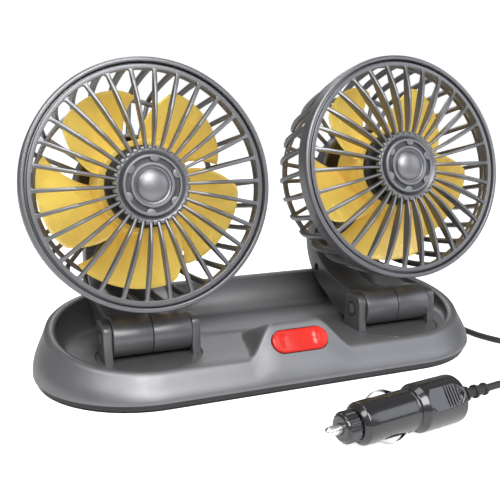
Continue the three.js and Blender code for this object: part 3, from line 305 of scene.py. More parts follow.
GRIP_RIB_DEPTH = 0.8
GRIP_RIB_SIDE = (5.2, 5.7)
GRIP_RIB_START = (66.2, 66.6)
GRIP_RIB_END = (75.8, 76.0)
RELIEF_FOOT = [(5.9, 79.8), (6.2, 80.1), (6.2, 81.3), (5.9, 81.6)]
RELIEF_STEM = 2.6
RELIEF_RINGS = 4
RELIEF_PITCH = 6.8
RELIEF_RING = 4.2

# Lead
CORD_RADIUS = 2.0
CORD_INSIDE = 48.0
COIL_CENTRE = (146.0, -112.0)
COIL_INNER = 13.0
COIL_PITCH = 4.8
COIL_TURNS = 8.25
PLUG_LEAD = [(88, -120.9, 12), (100, -121, 9.2), (112, -125.5, 4.6), (123, -136.5, 2.2), (133, -144.2, 2)]
BASE_LEAD = [
    (179.4, -97, 5.2), (178, -80, 2.2), (169, -60, 2), (157.5, -43, 2), (150, -24, 2), (148.4, -4, 2),
    (147, 16, 2), (140.5, 38, 2), (127, 58, 2), (109, 75, 2), (90, 88, 2.2), (74, 94.5, 3), (64.4, 92, 5.8),
    (60.4, 83.5, 8.6),
]

# Turns of a part: a drawing's (x, y, z) laid with x along Y, and a half turn about Z
ON_SIDE = np.array([[0, 0, 1], [1, 0, 0], [0, 1, 0]], float)
HALF_TURN = np.diag([-1.0, -1.0, 1.0])

finishes = {}


# Shape tools

def lerp(a, b, t):
    """The value a share t of the way from a to b."""
    return a + (b - a) * t


def smoothstep(x, low, high):
    """3t^2 - 2t^3 with t the clamped share of x between low and high."""
    t = np.clip((x - low) / (high - low), 0, 1)
    return t * t * (3 - 2 * t)


def rounded(corners, radius, steps=5, ends=True):
    """Each corner becomes a quadratic curve from radius before it to radius after it, where radius is
    at most 0.49 of the side. With ends False the line is open and its two ends stay."""
    p = np.asarray(corners, float)
    reach = np.broadcast_to(np.asarray(radius, float), len(p)).copy()
    if not ends:
        reach[[0, -1]] = 0

    def along(way):
        """From each corner its radius along the way to its neighbour."""
        length = np.maximum(np.linalg.norm(way, axis=1), TINY)
        return p + way * (np.minimum(reach, 0.49 * length) / length)[:, None]

    start = along(np.roll(p, 1, axis=0) - p)
    end = along(np.roll(p, -1, axis=0) - p)
    t = np.linspace(0, 1, steps)[None, :, None]
    line = (1 - t) ** 2 * start[:, None] + 2 * t * (1 - t) * p[:, None] + t**2 * end[:, None]
    line = line.reshape(-1, 2)
    step = np.linalg.norm(line - np.roll(line, 1, axis=0), axis=1)
    step[0] = step[0] if ends else 1
    return line[step > 1e-4]


def smooth_line(points, steps=8):
    """Centripetal cubic through the points: Hermite pieces whose end slopes come from the neighbours,
    each weighted by the square root of its distance."""
    p = np.asarray(points, float)
    p = np.concatenate([[2 * p[0] - p[1]], p, [2 * p[-1] - p[-2]]])
    dt = np.sqrt(np.linalg.norm(np.diff(p, axis=0), axis=1))[:, None]
    a, b, c, d = p[:-3], p[1:-2], p[2:-1], p[3:]
    da, db, dc = dt[:-2], dt[1:-1], dt[2:]
    slope_b = ((b - a) / da - (c - a) / (da + db) + (c - b) / db) * db
    slope_c = ((c - b) / db - (d - b) / (db + dc) + (d - c) / dc) * db
    t = (np.arange(steps) / steps)[None, :, None]
    h = [2 * t**3 - 3 * t**2 + 1, t**3 - 2 * t**2 + t, -2 * t**3 + 3 * t**2, t**3 - t**2]
    line = h[0] * b[:, None] + h[1] * slope_b[:, None] + h[2] * c[:, None] + h[3] * slope_c[:, None]
    return np.concatenate([line.reshape(-1, p.shape[1]), p[-2:-1]])


def flare(past, reach, radius):
    """Width that a fillet on either side adds to a bar: 2 (r - sqrt(r^2 - s^2)), with s the way past the
    fillet's start, from none to its reach."""
    s = np.clip(past, 0, reach)
    return 2 * (radius - np.sqrt(radius**2 - s**2))


def circle(count, phase=0.0):
    """Unit circle of count points."""
    angle = np.arange(count) * 2 * np.pi / count + phase
    return np.stack([np.cos(angle), np.sin(angle)], axis=1)


def stadium(half, radius, arc):
    """Outline of two half circles of that radius, whose far ends are half away from the middle."""
    angle = np.linspace(-np.pi / 2, np.pi / 2, arc)
    end = np.stack([half - radius + radius * np.cos(angle), radius * np.sin(angle)], axis=1)
    return np.concatenate([end, -end])


def inset(outline, depth):
    """The outline moved inwards along its own normals, which are its tangents turned by a right angle."""
    tangent = np.roll(outline, -1, axis=0) - np.roll(outline, 1, axis=0)
    tangent /= np.maximum(np.linalg.norm(tangent, axis=1), TINY)[:, None]
    normal = np.stack([tangent[:, 1], -tangent[:, 0]], axis=1)
    x, y = outline.T
    area = np.sum(x * np.roll(y, -1) - np.roll(x, -1) * y)
    return outline - normal * depth * np.sign(area)


def loft(rings, closed=False):
    """Rings of corners, an array of m by n by 3, joined by four-sided faces. An open row of rings is
    closed by a flat face at each end, and a closed one by joining its last ring to its first."""
    m, n = rings.shape[:2]
    row = np.arange(m if closed else m - 1)[:, None] * n
    col = np.arange(n)[None, :]
    side = (col + 1) % n
    up = (row + n) % (m * n)
    quads = np.stack([row + col, row + side, up + side, up + col], axis=-1).reshape(-1, 4)
    faces = [quads]
    if not closed:
        faces += [np.arange(n)[::-1][None], (np.arange(n) + (m - 1) * n)[None]]
    return rings.reshape(-1, 3), faces


def revolve(profile, sides=96, closed=True):
    """Profile points (radius, height) carried round the Z axis."""
    p = np.asarray(profile, float)
    turn = circle(sides)
    flat = p[:, None, :1] * turn[None]
    height = np.broadcast_to(p[:, None, 1:], (len(p), sides, 1))
    return loft(np.concatenate([flat, height], axis=2), closed)


def disc(profile, sides=96):
    """A revolved profile whose two ends are closed by flat faces."""
    return revolve(profile, sides, closed=False)


def swollen(radius, heights, angle):
    """Rings round the Z axis whose radius changes on the way: one row of radii for each height, one
    column for each angle."""
    level = np.repeat(np.asarray(heights, float)[:, None], len(angle), 1)
    return np.stack([radius * np.cos(angle), radius * np.sin(angle), level], axis=2)


def prism(outline, low, high, edge=0.4, axis="z"):
    """An outline drawn out between two heights, with edges rounded by a quarter circle: at angle a the
    ring stands in by edge (1 - sin a) at edge (1 - cos a) from the end."""
    outline = np.asarray(outline, float)
    angle = np.linspace(0, np.pi / 2, 4)
    depth = edge * (1 - np.sin(angle))
    place = edge * (1 - np.cos(angle))
    heights = np.concatenate([low + place, (high - place)[::-1]])
    depths = np.concatenate([depth, depth[::-1]])
    flat = np.stack([inset(outline, d) for d in depths])
    level = np.broadcast_to(heights[:, None, None], flat.shape[:2] + (1,))
    rings = [flat, level] if axis == "z" else [level, flat]
    return loft(np.concatenate(rings, axis=2))


def tube(path, radius, sides=16):
    """A round section carried along a path: at each point its plane is square to the chord between
    the neighbours, and one axis of it stays level."""
    along = np.gradient(path, axis=0)
    along /= np.linalg.norm(along, axis=1, keepdims=True)
    aside = np.cross(along, (0.0, 0.0, 1.0))
    aside /= np.linalg.norm(aside, axis=1, keepdims=True)
    above = np.cross(aside, along)
    c = circle(sides)
    return loft(path[:, None] + radius * (c[None, :, :1] * aside[:, None] + c[None, :, 1:] * above[:, None]))


def ribbon(path, widths, depths, sides=12, power=0.55):
    """A bar along a path in the plane of radius and depth. Its section is a rounded box: cosine and sine
    raised to a power under one, the first across the plane and the second along the path's normal."""
    along = np.gradient(path, axis=0)
    along /= np.linalg.norm(along, axis=1, keepdims=True)
    normal = np.stack([-along[:, 1], along[:, 0]], axis=1)
    c = circle(sides, np.pi / sides)
    box = np.sign(c) * np.abs(c) ** power
    across = box[:, 0] * widths[:, None] / 2
    out = box[:, 1] * depths[:, None] / 2
    plane = path[:, None] + normal[:, None] * out[..., None]
    return loft(np.stack([plane[..., 0], across, plane[..., 1]], axis=2))


def around(part, count, start=0.0):
    """Copies of a part, turned evenly about Z."""
    points, faces = part
    turn = circle(count, start)
    x = turn[:, None, 0] * points[None, :, 0] - turn[:, None, 1] * points[None, :, 1]
    y = turn[:, None, 1] * points[None, :, 0] + turn[:, None, 0] * points[None, :, 1]
    z = np.broadcast_to(points[None, :, 2], x.shape)
    every = np.stack([x, y, z], axis=2).reshape(-1, 3)
    shift = (np.arange(count) * len(points))[:, None, None]
    return every, [(face[None] + shift).reshape(-1, face.shape[1]) for face in faces]


def moved(part, turn=None, place=(0, 0, 0)):
    """A part turned by a 3 by 3 matrix, then moved."""
    points, faces = part
    points = points if turn is None else points @ np.asarray(turn, float).T
    return points + np.asarray(place, float), faces


def volume(part):
    """Signed volume: a sixth of the sum of the triple products of each face's fan of triangles."""
    points, faces = part
    total = 0.0
    for face in faces:
        corners = points[face]
        total += np.sum(corners[:, :1] * np.cross(corners[:, 1:-1], corners[:, 2:]))
    return total / 6


def build(name, parts, crease=CREASE):
    """One mesh object, in metres, from parts whose faces are first turned outwards."""
    points, corners, sizes, offset = [], [], [], 0
    for part in parts:
        flip = volume(part) < 0
        for face in part[1]:
            face = face[:, ::-1] if flip else face
            corners.append((face + offset).ravel())
            sizes.append(np.full(len(face), face.shape[1]))
        points.append(part[0])
        offset += len(part[0])
    loops = np.concatenate(corners).astype(np.int32)
    sizes = np.concatenate(sizes)
    starts = np.concatenate([[0], np.cumsum(sizes)[:-1]]).astype(np.int32)
    mesh = bpy.data.meshes.new(name)
    mesh.vertices.add(offset)
    mesh.vertices.foreach_set("co", (np.concatenate(points) * MM).astype(np.float32).ravel())
    mesh.loops.add(len(loops))
    mesh.loops.foreach_set("vertex_index", loops)
    mesh.polygons.add(len(sizes))
    mesh.polygons.foreach_set("loop_start", starts)
    mesh.update(calc_edges=True)
    mesh.validate()
    shade(mesh, crease)
    piece = bpy.data.objects.new(name, mesh)
    bpy.context.scene.collection.objects.link(piece)
    return piece


def shade(mesh, crease):
    """Smooth faces, with sharp edges where two of them meet at more than crease degrees."""
    mesh.shade_smooth()
    mesh.set_sharp_from_angle(angle=math.radians(crease))


def carve(piece, cutters, crease=CREASE):
    """Takes the cutters, given as parts, out of a piece, and keeps the result as its mesh."""
    tools = [build(f"{piece.name}_cutter_{k}", [part]) for k, part in enumerate(cutters)]
    for tool in tools:
        step = piece.modifiers.new(tool.name, "BOOLEAN")
        step.operation = "DIFFERENCE"
        step.solver = "EXACT"
        step.object = tool
    bpy.context.view_layer.update()
    mesh = bpy.data.meshes.new_from_object(piece.evaluated_get(bpy.context.evaluated_depsgraph_get()))
    piece.modifiers.clear()
    piece.data = mesh
    for tool in tools:
        bpy.data.objects.remove(tool)
    shade(mesh, crease)


def merged(first, other):
    """The other piece's faces become part of the first piece."""
    whole = bmesh.new()
    for piece in (first, other):
        whole.from_mesh(piece.data)
    whole.to_mesh(first.data)
    whole.free()
    bpy.data.objects.remove(other)
    shade(first.data, CREASE)


def dress(piece, finish, body, slot, *nodes):
    """Gives a piece its finish, its body and the frame nodes that it stands for, which it hides. The slot is
    not used.
    """
    piece.data.materials.clear()
    piece.data.materials.append(finishes[finish])
    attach(piece, body)
    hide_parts(*nodes)


def make(node, parts, finish, body, slot=None):
    """The piece for one frame node, whose name it repeats. It hands dress the given slot, or else the
    finish's name."""
    piece = build(f"{node}_shape", parts)
    dress(piece, finish, body, slot or finish, node)
    return piece


def paint(node, finish):
    """Gives a frame node that stays in view its finish."""
    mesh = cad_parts[node].data
    mesh.materials.clear()
    mesh.materials.append(finishes[finish])


def second_finish(piece, finish, chosen):
    """Gives the faces whose middle, in millimetres, is chosen a second finish."""
    mesh = piece.data
    mesh.materials.append(finishes[finish])
    middle = np.empty(len(mesh.polygons) * 3, np.float32)
    mesh.polygons.foreach_get("center", middle)
    mesh.polygons.foreach_set("material_index", chosen(middle.reshape(-1, 3) / MM).astype(np.int32))


def head_place(side):
    """The head's axes as columns, and the middle of its rim."""
    pitch = math.radians(PITCHES[side])
    c, s = math.cos(pitch), math.sin(pitch)
    turn = np.array([[1, 0, 0], [0, s, -c], [0, c, s]])
    pivot = np.array([SIDES[side] * TURN_X, TURN_Y + PIVOT_Y, PIVOT_Z])
    return turn, pivot + turn @ np.array([0, RIM_RISE, RIM_FORWARD])


def plug_place():
    """The plug's axes as columns, and its tip."""
    c, s = math.cos(PLUG_TURN), math.sin(PLUG_TURN)
    laid = np.array([[0, -s, c], [0, c, s], [-1, 0, 0]], float)
    r, q = math.cos(PLUG_ROLL), math.sin(PLUG_ROLL)
    return laid @ np.array([[r, -q, 0], [q, r, 0], [0, 0, 1]]), np.array(PLUG_PLACE)


def switch_place():
    """The switch's axes as columns, and the middle of its opening on the flank."""
    c, s = math.cos(FLANK_TILT), math.sin(FLANK_TILT)
    y = (ROCKER_HEIGHT - SKIRT_HEIGHT) / FLANK_SLOPE - WIDEST
    return np.array([[1, 0, 0], [0, c, -s], [0, s, c]]), np.array([SWITCH_X, y, ROCKER_HEIGHT])


# Finishes

def nodes_of(name):
    """A new material with its node tree, its shader and the piece's own coordinates."""
    material = bpy.data.materials.new(name)
    material.use_nodes = True
    tree = material.node_tree
    shader = tree.nodes["Principled BSDF"]
    place = tree.nodes.new("ShaderNodeTexCoord")
    return material, tree, shader, place.outputs["Object"]


def noise(tree, place, scale, detail=3.0, stretch=None):
    """Noise in the piece's own coordinates; stretch squeezes it along an axis."""
    texture = tree.nodes.new("ShaderNodeTexNoise")
    texture.inputs["Scale"].default_value = scale
    texture.inputs["Detail"].default_value = detail
    if stretch:
        mapping = tree.nodes.new("ShaderNodeMapping")
        mapping.inputs["Scale"].default_value = stretch
        tree.links.new(place, mapping.inputs["Vector"])
        place = mapping.outputs["Vector"]
    tree.links.new(place, texture.inputs["Vector"])
    return texture.outputs["Fac"]


def between(tree, value, low, high):
    """Maps a value from 0.3-0.7, where noise mostly lies, to low-high."""
    step = tree.nodes.new("ShaderNodeMapRange")
    step.inputs["From Min"].default_value = 0.3
    step.inputs["From Max"].default_value = 0.7
    step.inputs["To Min"].default_value = low
    step.inputs["To Max"].default_value = high
    tree.links.new(value, step.inputs["Value"])
    return step.outputs["Result"]


def backlight(tree, cast, shown):
    """Strength of the white backdrop: what it casts on the object, and what the eye is shown."""
    path = tree.nodes.new("ShaderNodeLightPath")
    strength = tree.nodes.new("ShaderNodeMapRange")
    strength.inputs["To Min"].default_value = cast
    strength.inputs["To Max"].default_value = shown
    tree.links.new(path.outputs["Is Camera Ray"], strength.inputs["Value"])
    return strength.outputs["Result"]


def tinted(tree, value, colour, spread):
    """A colour that varies by spread about its middle with a value."""
    ramp = tree.nodes.new("ShaderNodeValToRGB")
    ramp.color_ramp.elements[0].position = 0.3
    ramp.color_ramp.elements[1].position = 0.7
    ramp.color_ramp.elements[0].color = [c * (1 - spread) for c in colour[:3]] + [1]
    ramp.color_ramp.elements[1].color = [min(1, c * (1 + spread)) for c in colour[:3]] + [1]
    tree.links.new(value, ramp.inputs["Fac"])
    return ramp.outputs["Color"]


def grained(tree, shader, heights):
    """Bumps one above the other, each (value, strength, distance in metres)."""
    normal = None
    for value, strength, distance in heights:
        bump = tree.nodes.new("ShaderNodeBump")
        bump.inputs["Strength"].default_value = strength
        bump.inputs["Distance"].default_value = distance
        tree.links.new(value, bump.inputs["Height"])
        if normal:
            tree.links.new(normal, bump.inputs["Normal"])
        normal = bump.outputs["Normal"]
    tree.links.new(normal, shader.inputs["Normal"])


def moulded(name, colour, roughness, metallic=0.0, grain=0.25, coat=0.0, fine=2600.0):
    """Moulded plastic: a fine grain, a slow drift of colour and sheen, and faint handling marks."""
    material, tree, shader, place = nodes_of(name)
    drift = noise(tree, place, 28.0)
    fine_noise = noise(tree, place, fine, 2.0)
    marks = noise(tree, place, 150.0)
    tree.links.new(tinted(tree, drift, colour, 0.06), shader.inputs["Base Color"])
    tree.links.new(between(tree, marks, roughness - 0.025, roughness + 0.03), shader.inputs["Roughness"])
    shader.inputs["Metallic"].default_value = metallic
    shader.inputs["Coat Weight"].default_value = coat
    shader.inputs["Coat Roughness"].default_value = 0.12
    grained(tree, shader, [(fine_noise, grain, 0.00003), (marks, grain * 0.2, 0.00006)])
    finishes[name] = material


def amber_plastic(name, colour, clearness):
    """Tinted clear plastic with slow flow marks and a painted glow: a weak emission in its own colour stands
    in for light passing through.
    """
    material, tree, shader, place = nodes_of(name)
    flow = noise(tree, place, 45.0, 4.0, (1, 1, 0.3))
    tree.links.new(tinted(tree, flow, colour, 0.16), shader.inputs["Base Color"])
    tree.links.new(between(tree, flow, 0.2, 0.3), shader.inputs["Roughness"])
    shader.inputs["Transmission Weight"].default_value = clearness
    shader.inputs["IOR"].default_value = 1.46
    shader.inputs["Subsurface Weight"].default_value = 0.25
    shader.inputs["Subsurface Radius"].default_value = (0.012, 0.007, 0.002)
    shader.inputs["Subsurface Scale"].default_value = 0.6
    # Painted glow: a weak emission in the blade's own colour stands in for light passing through the blades
    shader.inputs["Emission Color"].default_value = (*colour[:3], 1)
    shader.inputs["Emission Strength"].default_value = 0.12
    grained(tree, shader, [(flow, 0.15, 0.0004)])
    finishes[name] = material


def metal(name, colour, roughness, stretch):
    """Turned or drawn metal: fine lines along one axis and small changes of polish."""
    material, tree, shader, place = nodes_of(name)
    lines = noise(tree, place, 900.0, 4.0, stretch)
    drift = noise(tree, place, 60.0)
    tree.links.new(tinted(tree, drift, colour, 0.05), shader.inputs["Base Color"])
    tree.links.new(between(tree, lines, roughness - 0.06, roughness + 0.08), shader.inputs["Roughness"])
    shader.inputs["Metallic"].default_value = 1.0
    grained(tree, shader, [(lines, 0.12, 0.00003)])
    finishes[name] = material


# Properties

class CarFanColours(bpy.types.PropertyGroup):
    """Colours that a user may want to change."""
    base: FloatVectorProperty(
        name="Base", description="Colour of the tray-like base", subtype="COLOR", size=3, min=0, max=1,
        default=(0.216, 0.217, 0.229))
    head: FloatVectorProperty(
        name="Heads", description="Colour of the cages and grilles", subtype="COLOR", size=3, min=0, max=1,
        default=(0.19, 0.19, 0.2))
    arm: FloatVectorProperty(
        name="Arms", description="Colour of the arms and turntables", subtype="COLOR", size=3, min=0, max=1,
        default=(0.14, 0.14, 0.145))
    blade: FloatVectorProperty(
        name="Blades", description="Colour of the rotors", subtype="COLOR", size=3, min=0, max=1,
        default=(0.95, 0.66, 0.15))
    rocker: FloatVectorProperty(
        name="Switch", description="Colour of the rocker", subtype="COLOR", size=3, min=0, max=1,
        default=(0.62, 0.02, 0.012))
    plug: FloatVectorProperty(
        name="Plug", description="Colour of the plug", subtype="COLOR", size=3, min=0, max=1,
        default=(0.012, 0.012, 0.014))


class CarFanSizes(bpy.types.PropertyGroup):
    """Small sizes that change the look and stay inside the frame."""
    spoke_rim_width: FloatProperty(
        name="Spoke width at the rim", description="Width of a front spoke where it leaves the rim",
        unit="LENGTH", min=0.001, max=0.004, default=0.0023)
    spoke_hub_width: FloatProperty(
        name="Spoke width at the hub", description="Width of a front spoke where it meets the hub",
        unit="LENGTH", min=0.0006, max=0.002, default=0.0015)
    edge: FloatProperty(
        name="Edge rounding", description="Radius of the moulded edges of ears and arms",
        unit="LENGTH", min=0.0002, max=0.0015, default=0.0007)
    blade_thickness: FloatProperty(
        name="Blade thickness", description="Thickness of a rotor blade",
        unit="LENGTH", min=0.0008, max=0.002, default=0.0014)
    clearness: FloatProperty(
        name="Blade clearness", description="Share of the light that passes through the blades",
        subtype="FACTOR", min=0, max=1, default=0.15)
    floor: BoolProperty(name="Floor", description="Add the pale floor of the studio", default=True)


# Operators

class CARFAN_OT_finishes(bpy.types.Operator):
    """Make the materials of all pieces"""
    bl_idname = "carfan.finishes"
    bl_label = "Finishes"

    def execute(self, context):
        colours = context.scene.car_fan_colours
        moulded("base_plastic", colours.base, 0.44, metallic=0.7, grain=0.12)
        # Painted shade for the tucked-in foot: the base colour at 0.12 of its strength
        moulded("skirt_painted_shade", [c * 0.12 for c in colours.base], 0.5)
        moulded("head_plastic", colours.head, 0.36, metallic=0.75, grain=0.05)
        moulded("cap_plastic", [c * 1.25 for c in colours.head], 0.4, metallic=0.85, grain=0.04)
        # Painted shade for the cap's groove: the head colour at half strength
        moulded("groove_painted_shade", [c * 0.5 for c in colours.head], 0.4, metallic=0.85, grain=0.04)
        moulded("arm_plastic", colours.arm, 0.34, metallic=0.5, grain=0.08)
        moulded("black_plastic", (0.02, 0.02, 0.021), 0.5)
        moulded("plug_plastic", colours.plug, 0.26, grain=0.015, coat=1.0)
        moulded("relief_rubber", (0.022, 0.022, 0.024), 0.55, grain=0.3)
        moulded("cord_rubber", (0.025, 0.025, 0.027), 0.45, grain=0.25)
        moulded("pad_rubber", (0.012, 0.012, 0.012), 0.8, grain=0.6, fine=1400.0)
        moulded("board_green", (0.02, 0.1, 0.05), 0.4)
        moulded("switch_plastic", colours.rocker, 0.2, grain=0.02, coat=0.1)
        amber_plastic("blade_plastic", colours.blade, context.scene.car_fan_sizes.clearness)
        metal("steel", (0.6, 0.6, 0.61), 0.3, (1, 1, 0.1))
        metal("bright_metal", (0.9, 0.9, 0.9), 0.32, (0.1, 1, 1))
        metal("copper", (0.6, 0.3, 0.12), 0.35, (1, 1, 0.1))
        material, tree, shader, place = nodes_of("fuse_glass")
        shader.inputs["Transmission Weight"].default_value = 0.9
        tree.links.new(between(tree, noise(tree, place, 60.0), 0.05, 0.12), shader.inputs["Roughness"])
        finishes["fuse_glass"] = material
        return {"FINISHED"}


class CARFAN_OT_stage(bpy.types.Operator):
    """Add the camera, the lights and the pale floor"""
    bl_idname = "carfan.stage"
    bl_label = "Camera and stage"

    def execute(self, context):
        scene = context.scene
        camera_data = bpy.data.cameras.new("camera")
        camera_data.sensor_width = 36.0
        camera_data.lens = CAMERA_LENS
        camera_data.clip_start = 0.01
        camera = bpy.data.objects.new("camera", camera_data)
        camera.location = CAMERA_PLACE
        camera.rotation_euler = [math.radians(angle) for angle in CAMERA_TURN]
        scene.collection.objects.link(camera)
        scene.camera = camera
        self.world(scene)
        for name, facts in LAMPS.items():
            self.lamp(scene, name, *facts)
        if scene.car_fan_sizes.floor:
            self.floor()
        return {"FINISHED"}

    @staticmethod
    def world(scene):
        """A white backdrop that lights the object less than it shows, so that the lamps shape it."""
        scene.view_settings.view_transform = "Standard"
        world = bpy.data.worlds.new("studio")
        world.use_nodes = True
        tree = world.node_tree
        tree.nodes["Background"].inputs["Color"].default_value = (1, 1, 1, 1)
        tree.links.new(backlight(tree, *BACKDROP), tree.nodes["Background"].inputs["Strength"])
        scene.world = world

    @staticmethod
    def lamp(scene, name, place, size, power, colour):
        """A square lamp turned towards the middle of the fans."""
        light = bpy.data.lights.new(name, "AREA")
        light.size = size
        light.energy = power
        light.color = colour
        lamp = bpy.data.objects.new(name, light)
        lamp.location = place
        away = lamp.location - Vector(LAMP_AIM)
        lamp.rotation_euler = away.to_track_quat("Z", "Y").to_euler()
        scene.collection.objects.link(lamp)

    @staticmethod
    def floor():
        """A large pale plane under the object."""
        corners = np.array([(-1, -1, 0), (1, -1, 0), (1, 1, 0), (-1, 1, 0)]) * FLOOR_HALF / MM
        floor = build("floor", [(corners, [np.arange(4)[None]])])
        material, tree, shader, place = nodes_of("floor_white")
        pale = tinted(tree, noise(tree, place, 3.0), (0.86, 0.86, 0.86), 0.01)
        tree.links.new(pale, shader.inputs["Base Color"])
        shader.inputs["Roughness"].default_value = 0.6
        shader.inputs["Emission Color"].default_value = (1, 1, 1, 1)
        tree.links.new(backlight(tree, *FLOOR_GLOW), shader.inputs["Emission Strength"])
        floor.data.materials.append(material)


class CARFAN_OT_plug(bpy.types.Operator):
    """Make the 12 V plug and its strain relief"""
    bl_idname = "carfan.plug"
    bl_label = "Plug"

    def execute(self, context):
        self.turn, self.tip = plug_place()
        nose = disc(rounded(TIP_PROFILE, 0.6, ends=False), 48)
        self.lay("plug_tip", nose, "bright_metal", "plug_tip")
        self.collar()
        self.barrel()
        self.handle()
        self.contacts()
        self.relief()
        paint("plug_fuse", "fuse_glass")
        return {"FINISHED"}

    def lay(self, node, part, finish, body="base", slot=None):
        """A piece in the plug's own axes, laid in its place."""
        make(node, [moved(part, self.turn, self.tip)], finish, body, slot)

    def collar(self):
        """A revolved collar between two plain rims. Its radius swells by a smoothstep of a cosine, one
        soft ridge for each wave."""
        base, z = np.array(COLLAR_PROFILE).T
        angle = np.arange(COLLAR_SIDES) * 2 * np.pi / COLLAR_SIDES
        swell = COLLAR_SWELL * smoothstep(np.cos(COLLAR_RIDGES * angle), -0.5, 0.5)
        radius = base[:, None] + (base == base.max())[:, None] * swell
        below, above = [np.full((1, COLLAR_SIDES), bore) for bore in COLLAR_BORE]
        rings = swollen(np.concatenate([below, radius, above]), [z[0], *z, z[-1]], angle)
        self.lay("plug_collar", loft(rings, closed=True), "plug_plastic", slot="black_plastic")

    def barrel(self):
        """A revolved barrel with a chamfered nose, a shallow waist and slots for the two contacts."""
        barrel = moved(revolve(rounded(PLUG_BARREL, 0.5), 128), self.turn, self.tip)
        piece = build("plug_barrel_shape", [barrel])
        slot = moved(prism(rounded(CONTACT_SLOT, 0.6), *CONTACT_SLOT_LEVELS, CUT_EDGE), ON_SIDE)
        carve(piece, [moved(part, self.turn, self.tip) for part in (slot, moved(slot, HALF_TURN))])
        dress(piece, "plug_plastic", "base", "plug_plastic", "plug_barrel")

    def handle(self):
        """A revolved grip. On two sides a flat, at radius d / cos(angle), is sunk into it within a stadium,
        and five ribs are left between gaps, each the low part of a cosine along the axis."""
        z = np.concatenate([
            [50.8, 50.85, 51.2], np.linspace(51.6, 54.2, 8), np.linspace(54.4, 77.1, 150),
            np.linspace(77.4, 79.2, 8), [79.45, 79.5],
        ])
        radii, heights = np.array(GRIP_PROFILE).T
        edge = np.interp(z, heights, radii)[:, None]
        angle = np.arange(GRIP_SIDES) * 2 * np.pi / GRIP_SIDES
        turned = np.mod(angle, np.pi) - np.pi / 2
        past = np.maximum(np.abs(z[:, None] - GRIP_FLAT_MIDDLE) - GRIP_FLAT_HALF, 0)
        distance = np.sqrt(past**2 + (GRIP_RADIUS * np.sin(turned)) ** 2)
        facet = np.minimum(edge, GRIP_FLAT / np.maximum(np.cos(turned), 0.2))
        scoop = (edge - facet) * (1 - smoothstep(distance, *GRIP_FLAT_EDGE))
        wave = np.clip(-np.cos((z - GRIP_RIBS) * 2 * np.pi / GRIP_RIB_PITCH), 0, 1) ** 0.6
        ribbed = smoothstep(z, *GRIP_RIB_START) * (1 - smoothstep(z, *GRIP_RIB_END))
        gaps = GRIP_RIB_DEPTH * (wave * ribbed)[:, None] * (1 - smoothstep(distance, *GRIP_RIB_SIDE))
        self.lay("plug_handle", loft(swollen(edge - scoop - gaps, z, angle)), "plug_plastic")

    def contacts(self):
        """Two sprung strips: the height follows a half sine, raised to a power, along the barrel, and
        a small share of each end lies flat."""
        t = np.linspace(0, 1, CONTACT_STEPS)
        share = np.clip((t - CONTACT_FLAT) / (1 - 2 * CONTACT_FLAT), 0, 1)
        height = CONTACT_FOOT + CONTACT_RISE * np.sin(np.pi * share) ** 1.3
        section = rounded(CONTACT_SECTION, 0.25, 4)
        strip = loft(np.stack([
            height[:, None] + section[:, 1], np.repeat(section[None, :, 0], CONTACT_STEPS, 0),
            np.repeat((CONTACT_START + CONTACT_LENGTH * t)[:, None], len(section), 1),
        ], axis=2))
        for node, part in (("plug_contact_lower", strip), ("plug_contact_upper", moved(strip, HALF_TURN))):
            self.lay(node, part, "bright_metal", node)

    def relief(self):
        """A revolved sleeve: a broad foot, and raised rings on a stem, each narrower than the last."""
        rows = list(RELIEF_FOOT)
        for k in range(RELIEF_RINGS):
            start, ring = RELIEF_FOOT[-1][1] + RELIEF_PITCH * k, RELIEF_RING - 0.3 * k
            rows += [(RELIEF_STEM, start - 0.3), (RELIEF_STEM, start)] if k else []
            rows += [(ring - 0.25, start), (ring, start + 0.3)]
            rows += [(ring, start + 1.5), (ring - 0.25, start + 1.8)]
            rows += [(RELIEF_STEM, start + 1.8), (RELIEF_STEM, start + 2.1)] if k < RELIEF_RINGS - 1 else []
        self.lay("strain_relief", disc(rows, 64), "relief_rubber", slot="cord_rubber")


class CARFAN_OT_cord(bpy.types.Operator):
    """Make the lead, from the gland at the back through its coil to the plug"""
    bl_idname = "carfan.cord"
    bl_label = "Lead"

    def execute(self, context):
        path = self.route()
        cord = build("lead", [tube(path, CORD_RADIUS)], crease=60)
        dress(cord, "cord_rubber", "base", "cord_rubber", "cord_from_plug", "cord_coil", "cord_to_base")
        return {"FINISHED"}

    @staticmethod
    def route():
        """Gland to coil, the coil, coil to plug. The coil's radius falls to its middle turn and rises
        again a layer higher, one cord's pitch for each turn."""
        turn = np.linspace(0, COIL_TURNS, int(COIL_TURNS * 40) + 1)
        angle = turn * 2 * np.pi - np.pi / 2
        radius = COIL_INNER + COIL_PITCH * np.abs(turn - COIL_TURNS / 2)
        height = CORD_RADIUS + COIL_PITCH * np.clip((turn - COIL_TURNS / 2) / 0.5 + 0.5, 0, 1)
        x, y = COIL_CENTRE
        coil = np.stack([x + radius * np.cos(angle), y + radius * np.sin(angle), height], axis=1)
        start = coil[0] - (2 * CORD_RADIUS, 0, 0)
        end = coil[-1] + (0, 2 * CORD_RADIUS, 0)
        along = np.array([math.cos(PLUG_TURN), math.sin(PLUG_TURN), 0])
        relief = PLUG_PLACE + PLUG_REACH * along
        gland = np.array([GLAND_X, WIDEST + GLAND_REACH, GLAND_HEIGHT])
        base_lead = smooth_line([end, *BASE_LEAD, gland])[::-1]
        plug_lead = smooth_line([relief, *PLUG_LEAD, start])[::-1]
        inside = along * np.linspace(4, CORD_INSIDE, 12)[:, None]
        return np.concatenate([base_lead[:-1], coil[::-1], plug_lead, relief - inside])


